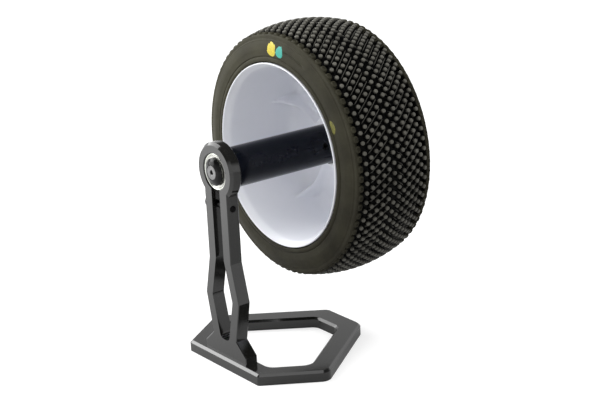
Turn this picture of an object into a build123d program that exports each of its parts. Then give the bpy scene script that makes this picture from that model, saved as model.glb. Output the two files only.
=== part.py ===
"""Bench balancer for small car wheels, with a wheel and tyre on its spindle.

All lengths are in millimetres and all angles in degrees.  The origin is on the
underside of the base, below the middle of the upright's thickness.  +Z is up,
+Y runs along the spindle from the upright to the wheel and +X is to the right
of someone who looks along +Y.
"""

from build123d import *
import math
import os

os.makedirs("parts", exist_ok=True)

# Sizes of the base plate.
# The outline is a six-sided frame: a front edge, two front flanks, two rear
# flanks and a short back edge.
base_thickness = 5.0
base_front_half_width = 26.0
base_side_half_width = 43.0
base_back_half_width = 11.9
base_front_overhang = 4.8
base_front_to_side = 25.1
base_front_to_back = 68.7
base_front_bar = 9.0
base_front_flank_bar = 8.1
base_rear_flank_bar = 9.7
base_back_bar = 10.8
base_front_corner_radius = 1.5
base_corner_radius = 4.5
base_opening_corner_radius = 5.0
base_top_chamfer = 1.0

# Sizes of the upright.
axle_height = 89.25
upright_thickness = 6.0
upright_edge_break = 0.3
head_radius = 12.7
head_rim_chamfer = 1.2
leg_half_width = 8.1
leg_bottom_height = 49.5
bulge_half_width = 12.3
bulge_height = 32.2
waist_half_width = 8.7
waist_height = 14.2
foot_half_width = 15.2
foot_top_height = 8.5
outline_corner_radius = 0.8
slot_half_width = 3.0
slot_neck_height = 50.3
slot_wide_half_width = 7.5
slot_wide_height = 32.0
slot_bottom_half_width = 3.1
slot_bottom_height = 12.8
slot_bottom_radius = 2.6

# Sizes of the two countersunk foot screws.
foot_screw_diameter = 3.0
foot_screw_length = 10.0
foot_screw_head_diameter = 6.0
foot_screw_head_angle = 90.0
foot_screw_spacing = 21.0
foot_screw_key_width = 2.0
foot_screw_key_depth = 1.0
foot_screw_hole_spare = 0.5
foot_screw_clearance = 0.15

# Sizes of the clamp screw across the upright's slot.
clamp_below_axle = 15.25
clamp_diameter = 3.0
clamp_hole_clearance = 0.1
clamp_head_diameter = 5.7
clamp_head_height = 1.65
clamp_head_round = 1.2
clamp_key_width = 2.0
clamp_key_depth = 0.9
clamp_end_proud = 0.4

# Sizes of the ball bearing.
bearing_bore = 8.0
bearing_diameter = 16.0
bearing_width = 5.0
bearing_chamfer = 0.4
ball_count = 9
ball_diameter = 2.0
ball_race_clearance = 0.05
ring_shoulder_thickness = 1.3
shield_seat_wall = 0.9
shield_thickness = 0.25
shield_recess = 0.2
shield_gap = 0.2
cage_thickness = 0.8
cage_width = 2.7
cage_pocket_clearance = 0.06

# Sizes of the domed washer and the screw on the front end of the spindle.
washer_diameter = 12.0
washer_boss_diameter = 10.0
washer_lift = 0.3
washer_rim = 0.4
washer_height = 1.9
washer_top_diameter = 7.0
washer_hole_clearance = 0.1
end_screw_diameter = 3.0
end_screw_length = 10.0
end_screw_head_diameter = 6.3
end_screw_head_angle = 90.0
end_screw_key_width = 2.0
end_screw_key_depth = 1.2
end_screw_hole_spare = 0.6

# Sizes of the spindle tube.
tube_diameter = 17.5
tube_bore = 12.0
tube_length = 54.4
tube_floor_thickness = 1.3
tube_chamfer = 0.4
tube_gap = 0.5
boss_diameter = 9.6
journal_short_fall = 0.2
journal_chamfer = 0.3

# Sizes of the hexagon adaptor that carries the wheel, and its grub screws.
hex_width = 17.0
hex_length = 6.0
hex_edge_break = 0.4
plug_past_grub = 0.6
plug_clearance = 0.04
plug_chamfer = 0.5
stud_diameter = 12.0
stud_length = 12.6
stud_chamfer = 0.8
grub_diameter = 3.0
grub_length = 3.0
grub_sink = 0.25
grub_angle = 12.0
grub_back_from_hex = 7.9
grub_key_width = 1.5
grub_key_depth = 1.2

# Sizes of the wheel.
hex_clearance = 0.05
stud_clearance = 0.05
hex_show = 1.5
hub_diameter = 24.0
hub_seat_thickness = 3.5
bead_seat_diameter = 79.8
barrel_wall = 1.5
rim_lip_stand = 0.94
rim_lip_face = 1.14
rim_lip_thickness = 1.2
rim_mouth_depth = 1.9
rim_front_to_hex_front = 28.3
rim_past_dish = 3.0
bead_ridge_height = 1.1
bead_ridge_width = 1.2
dish_front_rise = 3.4
dish_back_rise = 3.4
dish_back_setback = 1.3
rib_count = 5
rib_first_angle = 160.0
rib_thickness = 3.2
rib_height = 12.4
rib_root_sink = 0.6

# Sizes of the tyre.
tyre_depth = 16.6
tyre_wall = 2.0
sidewall_bulge_out = 1.83
tread_crown_radius = 62.0
bead_width = 3.4
bead_thickness = 2.1
sidewall_gap = 0.1
tread_row_count = 15
tread_row_spacing = 2.66
tread_pin_count = 80
tread_pin_width = 2.1
tread_pin_height = 2.6
shoulder_pin_height = 1.2
tread_band_thickness = 0.5
tyre_crown_wall = 2.0

# Sizes of the foam insert inside the tyre.
foam_clearance = 0.3
foam_side_clearance = 0.8

# Sizes of the wheel nut.
nut_flange_diameter = 21.0
nut_flange_thickness = 1.5
nut_length = 7.0
nut_width = 17.0
nut_edge_break = 0.6
nut_clearance = 0.05

# One overrun serves every cut that has to pass right through.
overrun = 2.0

# Diameters and lengths that follow from the sizes above.
inner_shoulder_diameter = bearing_bore + 2 * ring_shoulder_thickness
outer_shoulder_diameter = bearing_diameter - 2 * ring_shoulder_thickness
shield_seat_diameter = bearing_diameter - 2 * shield_seat_wall
ball_pitch_diameter = (bearing_bore + bearing_diameter) / 2
plug_length = grub_back_from_hex + grub_diameter / 2 + plug_past_grub
rim_bore_diameter = bead_seat_diameter - 2 * barrel_wall
rim_lip_diameter = bead_seat_diameter + 2 * rim_lip_stand
rim_mouth_diameter = rim_lip_diameter - 2 * rim_lip_face
bead_ridge_diameter = bead_seat_diameter + 2 * bead_ridge_height
tyre_diameter = bead_seat_diameter + 2 * tyre_depth
clamp_height = axle_height - clamp_below_axle

# Stations along the spindle, as Y values.
upright_back = upright_thickness / 2
bearing_front = -bearing_width / 2
bearing_back = bearing_width / 2
tube_front = upright_back + tube_gap
tube_back = tube_front + tube_length
hex_front = tube_back
hex_back = hex_front + hex_length
stud_back = hex_back + stud_length
grub_station = hex_front - grub_back_from_hex
hub_front = hex_front + hex_show
hub_seat = hex_back
hub_back = hub_seat + hub_seat_thickness
rim_front = hex_front - rim_front_to_hex_front
rim_back = hub_back + dish_back_rise + rim_past_dish
rim_middle = (rim_front + rim_back) / 2
tread_half_width = ((tread_row_count - 1) * tread_row_spacing + tread_pin_width) / 2
tyre_front = rim_middle - tread_half_width - sidewall_bulge_out
nut_front = hub_back
nut_back = nut_front + nut_length

# Directions and planes used by several pieces.
full_turn = 360
corner_up = 90
axle = Axis((0, 0, axle_height), (0, 1, 0))
axle_section = Plane.XY.offset(axle_height)


def across_axle(station):
    """Plane square to the axle: its x is X, its y is Z, its normal is -Y."""
    return Plane(origin=(0, station, axle_height), x_dir=(1, 0, 0), z_dir=(0, -1, 0))


def cone_depth(wide_diameter, narrow_diameter, angle):
    """Depth of a cone between two diameters."""
    return (wide_diameter - narrow_diameter) / 2 / math.tan(math.radians(angle / 2))


def save(piece, name):
    """Label a finished piece and write it under its own name."""
    piece.label = name
    export_step(piece, "parts/" + name + ".step")


# Base plate: a flat hexagonal frame with bars of four widths.
base_front = -base_front_overhang
base_side = base_front + base_front_to_side
base_back = base_front + base_front_to_back
front_right = (base_front_half_width, base_front)
side_right = (base_side_half_width, base_side)
back_right = (base_back_half_width, base_back)
back_left = (-base_back_half_width, base_back)
side_left = (-base_side_half_width, base_side)
front_left = (-base_front_half_width, base_front)


def inner_corner(a, b, c, bar_ab, bar_bc):
    """Corner of the opening beside outline corner b, a bar's width inside."""
    ab = (b[0] - a[0], b[1] - a[1])
    bc = (c[0] - b[0], c[1] - b[1])
    ab_length = math.hypot(ab[0], ab[1])
    bc_length = math.hypot(bc[0], bc[1])
    ab_inward = (-ab[1] / ab_length, ab[0] / ab_length)
    bc_inward = (-bc[1] / bc_length, bc[0] / bc_length)
    p = (b[0] + ab_inward[0] * bar_ab, b[1] + ab_inward[1] * bar_ab)
    q = (b[0] + bc_inward[0] * bar_bc, b[1] + bc_inward[1] * bar_bc)
    cross = ab[0] * bc[1] - ab[1] * bc[0]
    along = ((q[0] - p[0]) * bc[1] - (q[1] - p[1]) * bc[0]) / cross
    return (p[0] + ab[0] * along, p[1] + ab[1] * along)


opening_front_right = inner_corner(
    front_left, front_right, side_right, base_front_bar, base_front_flank_bar
)
opening_side_right = inner_corner(
    front_right, side_right, back_right, base_front_flank_bar, base_rear_flank_bar
)
opening_back_right = inner_corner(
    side_right, back_right, back_left, base_rear_flank_bar, base_back_bar
)
opening_right_half = [opening_front_right, opening_side_right, opening_back_right]
opening_left_half = [(-x, y) for x, y in reversed(opening_right_half)]

foot_screw_x = foot_screw_spacing / 2
foot_screw_cone = cone_depth(
    foot_screw_head_diameter, foot_screw_diameter, foot_screw_head_angle
)

with BuildPart() as base_plate:
    with BuildSketch():
        with BuildLine():
            Polyline(
                front_left,
                front_right,
                side_right,
                back_right,
                back_left,
                side_left,
                close=True,
            )
        make_face()
    extrude(amount=base_thickness)
    front_corners = base_plate.edges().filter_by(Axis.Z).group_by(Axis.Y)[0]
    fillet(front_corners, radius=base_front_corner_radius)
    other_corners = [
        edge
        for edge in base_plate.edges().filter_by(Axis.Z)
        if edge.center().Y > base_front + base_front_bar
    ]
    fillet(other_corners, radius=base_corner_radius)
    with BuildSketch() as base_opening:
        with BuildLine():
            Polyline(*opening_right_half, *opening_left_half, close=True)
        make_face()
        fillet(base_opening.vertices(), radius=base_opening_corner_radius)
    extrude(amount=base_thickness, mode=Mode.SUBTRACT)
    chamfer(base_plate.faces().sort_by(Axis.Z)[-1].edges(), length=base_top_chamfer)
    with Locations(
        Location((foot_screw_x, 0, 0), (180, 0, 0)),
        Location((-foot_screw_x, 0, 0), (180, 0, 0)),
    ):
        CounterSinkHole(
            radius=foot_screw_diameter / 2 + foot_screw_clearance,
            counter_sink_radius=foot_screw_head_diameter / 2 + foot_screw_clearance,
            depth=base_thickness + overrun,
            counter_sink_angle=foot_screw_head_angle,
        )
save(base_plate.part, "base_plate")

# Upright: a flat plate with two legs that bow out, a foot and a round head
# whose rims are chamfered.
outline_right = [
    (leg_half_width, axle_height),
    (leg_half_width, leg_bottom_height),
    (bulge_half_width, bulge_height),
    (waist_half_width, waist_height),
    (foot_half_width, foot_top_height),
    (foot_half_width, base_thickness),
]
outline_left = [(-x, z) for x, z in reversed(outline_right)]
slot_right = [
    (slot_half_width, axle_height),
    (slot_half_width, slot_neck_height),
    (slot_wide_half_width, slot_wide_height),
    (slot_bottom_half_width, slot_bottom_height),
]
slot_left = [(-x, z) for x, z in reversed(slot_right)]

with BuildPart() as upright_head:
    with BuildSketch(across_axle(0)):
        Circle(radius=head_radius)
    extrude(amount=upright_thickness / 2, both=True)
    chamfer(
        upright_head.edges().filter_by(GeomType.CIRCLE),
        length=head_rim_chamfer,
    )

with BuildPart() as upright:
    with BuildSketch(Plane.XZ) as upright_outline:
        with BuildLine():
            Polyline(*outline_right, *outline_left, close=True)
        make_face()
        outline_corners = [
            corner
            for corner in upright_outline.vertices()
            if foot_top_height <= corner.Z < axle_height
        ]
        fillet(outline_corners, radius=outline_corner_radius)
    extrude(amount=upright_thickness / 2, both=True)
    broken_edges = [
        edge
        for edge in upright.edges()
        if abs(abs(edge.center().Y) - upright_thickness / 2) < upright_edge_break
        and edge.center().Z > base_thickness + upright_edge_break
    ]
    chamfer(broken_edges, length=upright_edge_break)
    add(upright_head.part)
    with BuildSketch(Plane.XZ) as upright_slot:
        with BuildLine():
            Polyline(*slot_right, *slot_left, close=True)
        make_face()
        slot_bottom_corners = [
            corner
            for corner in upright_slot.vertices()
            if corner.Z < (slot_bottom_height + slot_wide_height) / 2
        ]
        fillet(slot_bottom_corners, radius=slot_bottom_radius)
        slot_side_corners = [
            corner
            for corner in upright_slot.vertices()
            if slot_wide_height - slot_bottom_radius < corner.Z < clamp_height
        ]
        fillet(slot_side_corners, radius=outline_corner_radius)
        with Locations((0, axle_height)):
            Circle(radius=bearing_diameter / 2)
    extrude(amount=upright_thickness / 2, both=True, mode=Mode.SUBTRACT)
    bore_rims = [
        edge
        for edge in upright.edges().filter_by(GeomType.CIRCLE)
        if abs(edge.radius - bearing_diameter / 2) < upright_edge_break
        and edge.center().Z > clamp_height + clamp_diameter
    ]
    chamfer(bore_rims, length=upright_edge_break)
    with Locations((foot_screw_x, 0, base_thickness), (-foot_screw_x, 0, base_thickness)):
        Cylinder(
            radius=foot_screw_diameter / 2,
            height=foot_screw_length - base_thickness + foot_screw_hole_spare,
            align=(Align.CENTER, Align.CENTER, Align.MIN),
            mode=Mode.SUBTRACT,
        )
    with BuildSketch(Plane.YZ):
        with Locations((0, clamp_height)):
            Circle(radius=clamp_diameter / 2)
    extrude(amount=leg_half_width + overrun, mode=Mode.SUBTRACT)
    with BuildSketch(Plane.YZ):
        with Locations((0, clamp_height)):
            Circle(radius=clamp_diameter / 2 + clamp_hole_clearance)
    extrude(amount=-(leg_half_width + overrun), mode=Mode.SUBTRACT)
save(upright.part, "upright")

# Foot screws: two countersunk screws that come up through the base plate.
with BuildPart() as foot_screws:
    with Locations((foot_screw_x, 0, 0), (-foot_screw_x, 0, 0)):
        Cone(
            bottom_radius=foot_screw_head_diameter / 2,
            top_radius=foot_screw_diameter / 2,
            height=foot_screw_cone,
            align=(Align.CENTER, Align.CENTER, Align.MIN),
        )
        Cylinder(
            radius=foot_screw_diameter / 2,
            height=foot_screw_length,
            align=(Align.CENTER, Align.CENTER, Align.MIN),
        )
    with BuildSketch():
        with Locations((foot_screw_x, 0), (-foot_screw_x, 0)):
            RegularPolygon(
                radius=foot_screw_key_width / 2, side_count=6, major_radius=False
            )
    extrude(amount=foot_screw_key_depth, mode=Mode.SUBTRACT)
save(foot_screws.part, "foot_screws")

# Clamp screw: a button head on the left leg and a thread end past the right.
clamp_head_x = -(leg_half_width + clamp_head_height)
clamp_end_x = leg_half_width + clamp_end_proud
clamp_plane = Plane(origin=(clamp_head_x, 0, clamp_height), z_dir=(1, 0, 0))

with BuildPart() as clamp_screw:
    with BuildSketch(clamp_plane):
        Circle(radius=clamp_head_diameter / 2)
    extrude(amount=clamp_head_height)
    fillet(
        clamp_screw.edges().filter_by(GeomType.CIRCLE).sort_by(Axis.X)[0],
        radius=clamp_head_round,
    )
    with BuildSketch(clamp_plane):
        Circle(radius=clamp_diameter / 2)
    extrude(amount=clamp_end_x - clamp_head_x)
    with BuildSketch(clamp_plane):
        RegularPolygon(radius=clamp_key_width / 2, side_count=6, major_radius=False)
    extrude(amount=clamp_key_depth, mode=Mode.SUBTRACT)
save(clamp_screw.part, "clamp_screw")

# Ball bearing: both races share one groove circle around the balls.
race_groove_radius = ball_diameter / 2 + ball_race_clearance
ball_pitch_radius = ball_pitch_diameter / 2

with BuildPart() as bearing_outer_ring:
    with BuildSketch(axle_section):
        with Locations(((outer_shoulder_diameter + bearing_diameter) / 4, 0)):
            Rectangle((bearing_diameter - outer_shoulder_diameter) / 2, bearing_width)
        with Locations((ball_pitch_radius, 0)):
            Circle(radius=race_groove_radius, mode=Mode.SUBTRACT)
        shield_seat_depth = shield_recess + shield_thickness
        with Locations(
            (shield_seat_diameter / 4, bearing_back - shield_seat_depth / 2),
            (shield_seat_diameter / 4, bearing_front + shield_seat_depth / 2),
        ):
            Rectangle(shield_seat_diameter / 2, shield_seat_depth, mode=Mode.SUBTRACT)
    revolve(axis=axle)
    outer_rims = [
        edge
        for edge in bearing_outer_ring.edges().filter_by(GeomType.CIRCLE)
        if edge.radius > (shield_seat_diameter + bearing_diameter) / 4
    ]
    chamfer(outer_rims, length=bearing_chamfer)
save(bearing_outer_ring.part, "bearing_outer_ring")

with BuildPart() as bearing_inner_ring:
    with BuildSketch(axle_section):
        with Locations(((bearing_bore + inner_shoulder_diameter) / 4, 0)):
            Rectangle((inner_shoulder_diameter - bearing_bore) / 2, bearing_width)
        with Locations((ball_pitch_radius, 0)):
            Circle(radius=race_groove_radius, mode=Mode.SUBTRACT)
    revolve(axis=axle)
save(bearing_inner_ring.part, "bearing_inner_ring")

shield_inner_radius = inner_shoulder_diameter / 2 + shield_gap
shield_outer_radius = shield_seat_diameter / 2
shield_middle = bearing_width / 2 - shield_recess - shield_thickness / 2

with BuildPart() as bearing_shields:
    with BuildSketch(axle_section):
        with Locations(
            ((shield_inner_radius + shield_outer_radius) / 2, shield_middle),
            ((shield_inner_radius + shield_outer_radius) / 2, -shield_middle),
        ):
            Rectangle(shield_outer_radius - shield_inner_radius, shield_thickness)
    revolve(axis=axle)
save(bearing_shields.part, "bearing_shields")

ball_angles = [full_turn * index / ball_count for index in range(ball_count)]


def radial_plane(angle, station):
    """Plane through the axle at a station: its normal points outwards."""
    return Plane(
        origin=(0, station, axle_height),
        x_dir=(0, 1, 0),
        z_dir=(math.cos(math.radians(angle)), 0, math.sin(math.radians(angle))),
    )


with BuildPart() as bearing_balls:
    with Locations(
        *[radial_plane(angle, 0).offset(ball_pitch_radius) for angle in ball_angles]
    ):
        Sphere(radius=ball_diameter / 2)
save(bearing_balls.part, "bearing_balls")

with BuildPart() as bearing_cage:
    with BuildSketch(across_axle(0)):
        Circle(radius=ball_pitch_radius + cage_thickness / 2)
        Circle(radius=ball_pitch_radius - cage_thickness / 2, mode=Mode.SUBTRACT)
    extrude(amount=cage_width / 2, both=True)
    for angle in ball_angles:
        with BuildSketch(radial_plane(angle, 0)):
            Circle(radius=ball_diameter / 2 + cage_pocket_clearance)
    extrude(amount=ball_pitch_radius + cage_thickness, mode=Mode.SUBTRACT)
save(bearing_cage.part, "bearing_cage")

# Domed washer: it bears on the inner ring and clears the shield.
washer_hole_radius = end_screw_diameter / 2 + washer_hole_clearance
washer_top = bearing_front - washer_height
washer_sink_depth = cone_depth(
    end_screw_head_diameter, 2 * washer_hole_radius, end_screw_head_angle
)
washer_underside = bearing_front - washer_lift
washer_edge = washer_underside - washer_rim
dome_middle_radius = (washer_diameter + washer_top_diameter) / 4
dome_middle_share = 0.68
dome_middle_station = washer_edge + (washer_top - washer_edge) * dome_middle_share

with BuildPart() as end_washer:
    with BuildSketch(axle_section):
        with BuildLine():
            Polyline(
                (washer_top_diameter / 2, washer_top),
                (end_screw_head_diameter / 2, washer_top),
                (washer_hole_radius, washer_top + washer_sink_depth),
                (washer_hole_radius, bearing_front),
                (washer_boss_diameter / 2, bearing_front),
                (washer_boss_diameter / 2, washer_underside),
                (washer_diameter / 2, washer_underside),
                (washer_diameter / 2, washer_edge),
            )
            ThreePointArc(
                (washer_diameter / 2, washer_edge),
                (dome_middle_radius, dome_middle_station),
                (washer_top_diameter / 2, washer_top),
            )
        make_face()
    revolve(axis=axle)
save(end_washer.part, "end_washer")

# End screw: its countersunk head lies flush with the washer's flat top.
end_screw_cone = cone_depth(
    end_screw_head_diameter, end_screw_diameter, end_screw_head_angle
)
end_screw_tip = washer_top + end_screw_length

with BuildPart() as end_screw:
    with BuildSketch(axle_section):
        with BuildLine():
            Polyline(
                (0, washer_top),
                (end_screw_head_diameter / 2, washer_top),
                (end_screw_diameter / 2, washer_top + end_screw_cone),
                (end_screw_diameter / 2, end_screw_tip),
                (0, end_screw_tip),
                close=True,
            )
        make_face()
    revolve(axis=axle)
    with BuildSketch(across_axle(washer_top)):
        RegularPolygon(
            radius=end_screw_key_width / 2, side_count=6, major_radius=False
        )
    extrude(amount=-end_screw_key_depth, mode=Mode.SUBTRACT)
save(end_screw.part, "end_screw")

# Spindle tube: a journal for the bearing, a shoulder and a long hollow tube.
journal_front = bearing_front + journal_short_fall
screw_hole_back = end_screw_tip + end_screw_hole_spare
tube_floor = screw_hole_back + tube_floor_thickness
grub_plane = radial_plane(grub_angle, grub_station)

with BuildPart() as spindle_tube:
    with BuildSketch(axle_section):
        with BuildLine():
            Polyline(
                (end_screw_diameter / 2, journal_front),
                (bearing_bore / 2 - journal_chamfer, journal_front),
                (bearing_bore / 2, journal_front + journal_chamfer),
                (bearing_bore / 2, bearing_back),
                (boss_diameter / 2, bearing_back),
                (boss_diameter / 2, tube_front),
                (tube_diameter / 2 - tube_chamfer, tube_front),
                (tube_diameter / 2, tube_front + tube_chamfer),
                (tube_diameter / 2, tube_back),
                (tube_bore / 2, tube_back),
                (tube_bore / 2, tube_floor),
                (0, tube_floor),
                (0, screw_hole_back),
                (end_screw_diameter / 2, screw_hole_back),
                close=True,
            )
        make_face()
    revolve(axis=axle)
    with BuildSketch(grub_plane):
        Circle(radius=grub_diameter / 2)
    extrude(amount=tube_diameter, both=True, mode=Mode.SUBTRACT)
save(spindle_tube.part, "spindle_tube")

# Hexagon adaptor: a plug in the tube, the hexagon and the stud for the nut.
grub_outer_radius = tube_diameter / 2 - grub_sink
grub_inner_radius = grub_outer_radius - grub_length

with BuildPart() as hex_adaptor:
    with BuildSketch(across_axle(hex_back)):
        RegularPolygon(
            radius=hex_width / 2, side_count=6, major_radius=False, rotation=corner_up
        )
    extrude(amount=hex_length)
    chamfer(
        hex_adaptor.faces().sort_by(Axis.Y)[0].edges(),
        length=hex_edge_break,
    )
    with BuildSketch(across_axle(stud_back)):
        Circle(radius=stud_diameter / 2)
    extrude(amount=stud_length)
    chamfer(
        hex_adaptor.edges().filter_by(GeomType.CIRCLE).sort_by(Axis.Y)[-1],
        length=stud_chamfer,
    )
    with BuildSketch(across_axle(hex_front)):
        Circle(radius=tube_bore / 2 - plug_clearance)
    extrude(amount=plug_length)
    chamfer(
        hex_adaptor.edges().filter_by(GeomType.CIRCLE).sort_by(Axis.Y)[0],
        length=plug_chamfer,
    )
    for side in (1, -1):
        with BuildSketch(grub_plane.offset(side * grub_inner_radius)):
            Circle(radius=grub_diameter / 2)
        extrude(amount=side * grub_length, mode=Mode.SUBTRACT)
save(hex_adaptor.part, "hex_adaptor")

# Grub screws: two socket screws, one each side, hold the adaptor in the tube.
with BuildPart() as grub_screws:
    for side in (1, -1):
        with BuildSketch(grub_plane.offset(side * grub_inner_radius)):
            Circle(radius=grub_diameter / 2)
        extrude(amount=side * grub_length)
        with BuildSketch(grub_plane.offset(side * grub_outer_radius)):
            RegularPolygon(
                radius=grub_key_width / 2, side_count=6, major_radius=False
            )
        extrude(amount=-side * grub_key_depth, mode=Mode.SUBTRACT)
save(grub_screws.part, "grub_screws")

# Wheel: a deep barrel, a dish set far back, curved ribs and a hexagon pocket.
hub_radius = hub_diameter / 2
rim_bore_radius = rim_bore_diameter / 2
dish_front_at_hub = hub_seat + dish_back_setback
dish_front_at_rim = dish_front_at_hub + dish_front_rise
dish_back_at_rim = hub_back + dish_back_rise
stud_hole_radius = stud_diameter / 2 + stud_clearance
barrel_half = [
    (bead_seat_diameter / 2, rim_front + rim_lip_thickness),
    (rim_lip_diameter / 2, rim_front + rim_lip_thickness),
    (rim_lip_diameter / 2, rim_front),
    (rim_mouth_diameter / 2, rim_front),
    (rim_bore_radius, rim_front + rim_mouth_depth),
]
bead_inner = rim_front + rim_lip_thickness + bead_width
barrel_back_half = [(r, 2 * rim_middle - y) for r, y in reversed(barrel_half)]
barrel_outline = (
    barrel_half
    + [
        (rim_bore_radius, dish_front_at_rim),
        (hub_radius, dish_front_at_hub),
        (hub_radius, hub_front),
        (0, hub_front),
        (0, hub_back),
        (hub_radius, hub_back),
        (rim_bore_radius, dish_back_at_rim),
    ]
    + barrel_back_half
    + [
        (bead_seat_diameter / 2, 2 * rim_middle - bead_inner),
        (bead_ridge_diameter / 2, 2 * rim_middle - bead_inner),
        (bead_ridge_diameter / 2, 2 * rim_middle - bead_inner - bead_ridge_width),
        (bead_seat_diameter / 2, 2 * rim_middle - bead_inner - bead_ridge_width),
        (bead_seat_diameter / 2, bead_inner + bead_ridge_width),
        (bead_ridge_diameter / 2, bead_inner + bead_ridge_width),
        (bead_ridge_diameter / 2, bead_inner),
        (bead_seat_diameter / 2, bead_inner),
    ]
)

# The rib's crest dips between the hub and the barrel.  Each place is a share
# of the way out from the hub and a share of the way forward from the dish.
rib_crest_shares = [(0.0, 0.22), (0.38, 0.19), (0.72, 0.24), (1.0, 1.0)]
rib_reach = rim_bore_radius - hub_radius


def rib_crest(share):
    """Place on the crest, from its pair of shares."""
    out_share = share[0]
    front_share = share[1]
    dish_front = dish_front_at_hub + dish_front_rise * out_share
    return (hub_radius + rib_reach * out_share, dish_front - rib_height * front_share)


crest_points = [rib_crest(share) for share in rib_crest_shares]
crest_start = (hub_radius - rib_root_sink, crest_points[0][1])
crest_end = (rim_bore_radius + rib_root_sink, crest_points[-1][1])
rib_back_points = [
    (rim_bore_radius + rib_root_sink, dish_front_at_rim + rib_root_sink),
    (hub_radius - rib_root_sink, dish_front_at_hub + rib_root_sink),
]

with BuildPart() as wheel:
    with BuildSketch(axle_section):
        with BuildLine():
            Polyline(*barrel_outline, close=True)
        make_face()
    revolve(axis=axle)
    for index in range(rib_count):
        rib_angle = rib_first_angle + full_turn * index / rib_count
        rib_plane = Plane(
            origin=(0, 0, axle_height),
            x_dir=(
                math.cos(math.radians(rib_angle)),
                0,
                math.sin(math.radians(rib_angle)),
            ),
            z_dir=(
                -math.sin(math.radians(rib_angle)),
                0,
                math.cos(math.radians(rib_angle)),
            ),
        )
        with BuildSketch(rib_plane):
            with BuildLine():
                Spline(*crest_points)
                Polyline(
                    crest_points[-1],
                    crest_end,
                    rib_back_points[0],
                    rib_back_points[1],
                    crest_start,
                    crest_points[0],
                )
            make_face()
        extrude(amount=rib_thickness / 2, both=True)
    with BuildSketch(across_axle(hub_seat)):
        RegularPolygon(
            radius=hex_width / 2 + hex_clearance,
            side_count=6,
            major_radius=False,
            rotation=corner_up,
        )
    extrude(amount=hub_seat - hub_front + overrun, mode=Mode.SUBTRACT)
    with BuildSketch(across_axle(hub_back + overrun)):
        Circle(radius=stud_hole_radius)
    extrude(amount=hub_seat_thickness + 2 * overrun, mode=Mode.SUBTRACT)
save(wheel.part, "wheel")

# Tyre: the carcass has two beads, two sidewalls and a crown cut in low steps,
# one step for each row of the tread.
row_offsets = [
    (row - (tread_row_count - 1) / 2) * tread_row_spacing
    for row in range(tread_row_count)
]


def crown_radius_at(offset):
    """Radius of the pins' tops at a distance from the tyre's middle."""
    drop = tread_crown_radius - math.sqrt(tread_crown_radius**2 - offset**2)
    return tyre_diameter / 2 - drop


# The two edge rows stand on the shoulders, so their pins are low.
pin_heights = (
    [shoulder_pin_height]
    + [tread_pin_height] * (tread_row_count - 2)
    + [shoulder_pin_height]
)
pin_top_radii = [crown_radius_at(offset) for offset in row_offsets]
pin_root_radii = [top - height for top, height in zip(pin_top_radii, pin_heights)]
step_radii = [radius - tread_band_thickness for radius in pin_root_radii]
crown_steps = []
for offset, radius in zip(row_offsets, step_radii):
    crown_steps.append((radius, rim_middle + offset - tread_pin_width / 2))
    crown_steps.append((radius, rim_middle + offset + tread_pin_width / 2))

bead_front = rim_front + rim_lip_thickness
bead_bore_radius = bead_seat_diameter / 2
sidewall_start = (rim_lip_diameter / 2 + sidewall_gap, bead_front)
sidewall_end = crown_steps[0]
sidewall_bulge = ((sidewall_start[0] + sidewall_end[0]) / 2, tyre_front)
bead_back = bead_front + bead_width
bead_top_radius = bead_bore_radius + bead_thickness
inner_crown_radius = step_radii[tread_row_count // 2] - tyre_crown_wall
inner_shoulder = (sidewall_end[0] - tyre_wall, sidewall_end[1] + tyre_wall)
inner_bulge = (sidewall_bulge[0] + tyre_wall / 2, tyre_front + tyre_wall)


def mirrored(point):
    """The same place on the other side of the tyre's middle."""
    return (point[0], 2 * rim_middle - point[1])


with BuildPart() as tyre:
    with BuildSketch(axle_section):
        with BuildLine():
            ThreePointArc(sidewall_start, sidewall_bulge, sidewall_end)
            Polyline(*crown_steps)
            ThreePointArc(
                mirrored(sidewall_end),
                mirrored(sidewall_bulge),
                mirrored(sidewall_start),
            )
            Polyline(
                mirrored(sidewall_start),
                mirrored((bead_bore_radius, bead_front)),
                mirrored((bead_bore_radius, bead_back)),
                mirrored((bead_top_radius, bead_back)),
            )
            ThreePointArc(
                mirrored((bead_top_radius, bead_back)),
                mirrored(inner_bulge),
                mirrored(inner_shoulder),
            )
            ThreePointArc(
                mirrored(inner_shoulder),
                (inner_crown_radius, rim_middle),
                inner_shoulder,
            )
            ThreePointArc(inner_shoulder, inner_bulge, (bead_top_radius, bead_back))
            Polyline(
                (bead_top_radius, bead_back),
                (bead_bore_radius, bead_back),
                (bead_bore_radius, bead_front),
                sidewall_start,
            )
        make_face()
    revolve(axis=axle)
save(tyre.part, "tyre")

# Tread: one toothed ring for each row, seated on its step of the crown.  Every
# other row is turned by half a pitch, so the pins stand in staggered rows.
pin_pitch_angle = full_turn / tread_pin_count


def pin_corner(radius, turn):
    """Corner of a pin at a radius and an angle round the axle."""
    return (
        radius * math.cos(math.radians(turn)),
        radius * math.sin(math.radians(turn)),
    )


with BuildPart() as tread_pins:
    for row in range(tread_row_count):
        top = pin_top_radii[row]
        root = pin_root_radii[row]
        half_pin = math.degrees(tread_pin_width / 2 / top)
        row_turn = pin_pitch_angle / 2 * (row % 2)
        ring_points = []
        for pin in range(tread_pin_count):
            middle = row_turn + pin * pin_pitch_angle
            ring_points.append(pin_corner(root, middle - half_pin))
            ring_points.append(pin_corner(top, middle - half_pin))
            ring_points.append(pin_corner(top, middle + half_pin))
            ring_points.append(pin_corner(root, middle + half_pin))
        row_station = rim_middle + row_offsets[row] + tread_pin_width / 2
        with BuildSketch(across_axle(row_station)):
            with BuildLine():
                Polyline(*ring_points, close=True)
            make_face()
            Circle(radius=step_radii[row], mode=Mode.SUBTRACT)
    extrude(amount=tread_pin_width)
save(tread_pins.part, "tread_pins")

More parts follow.
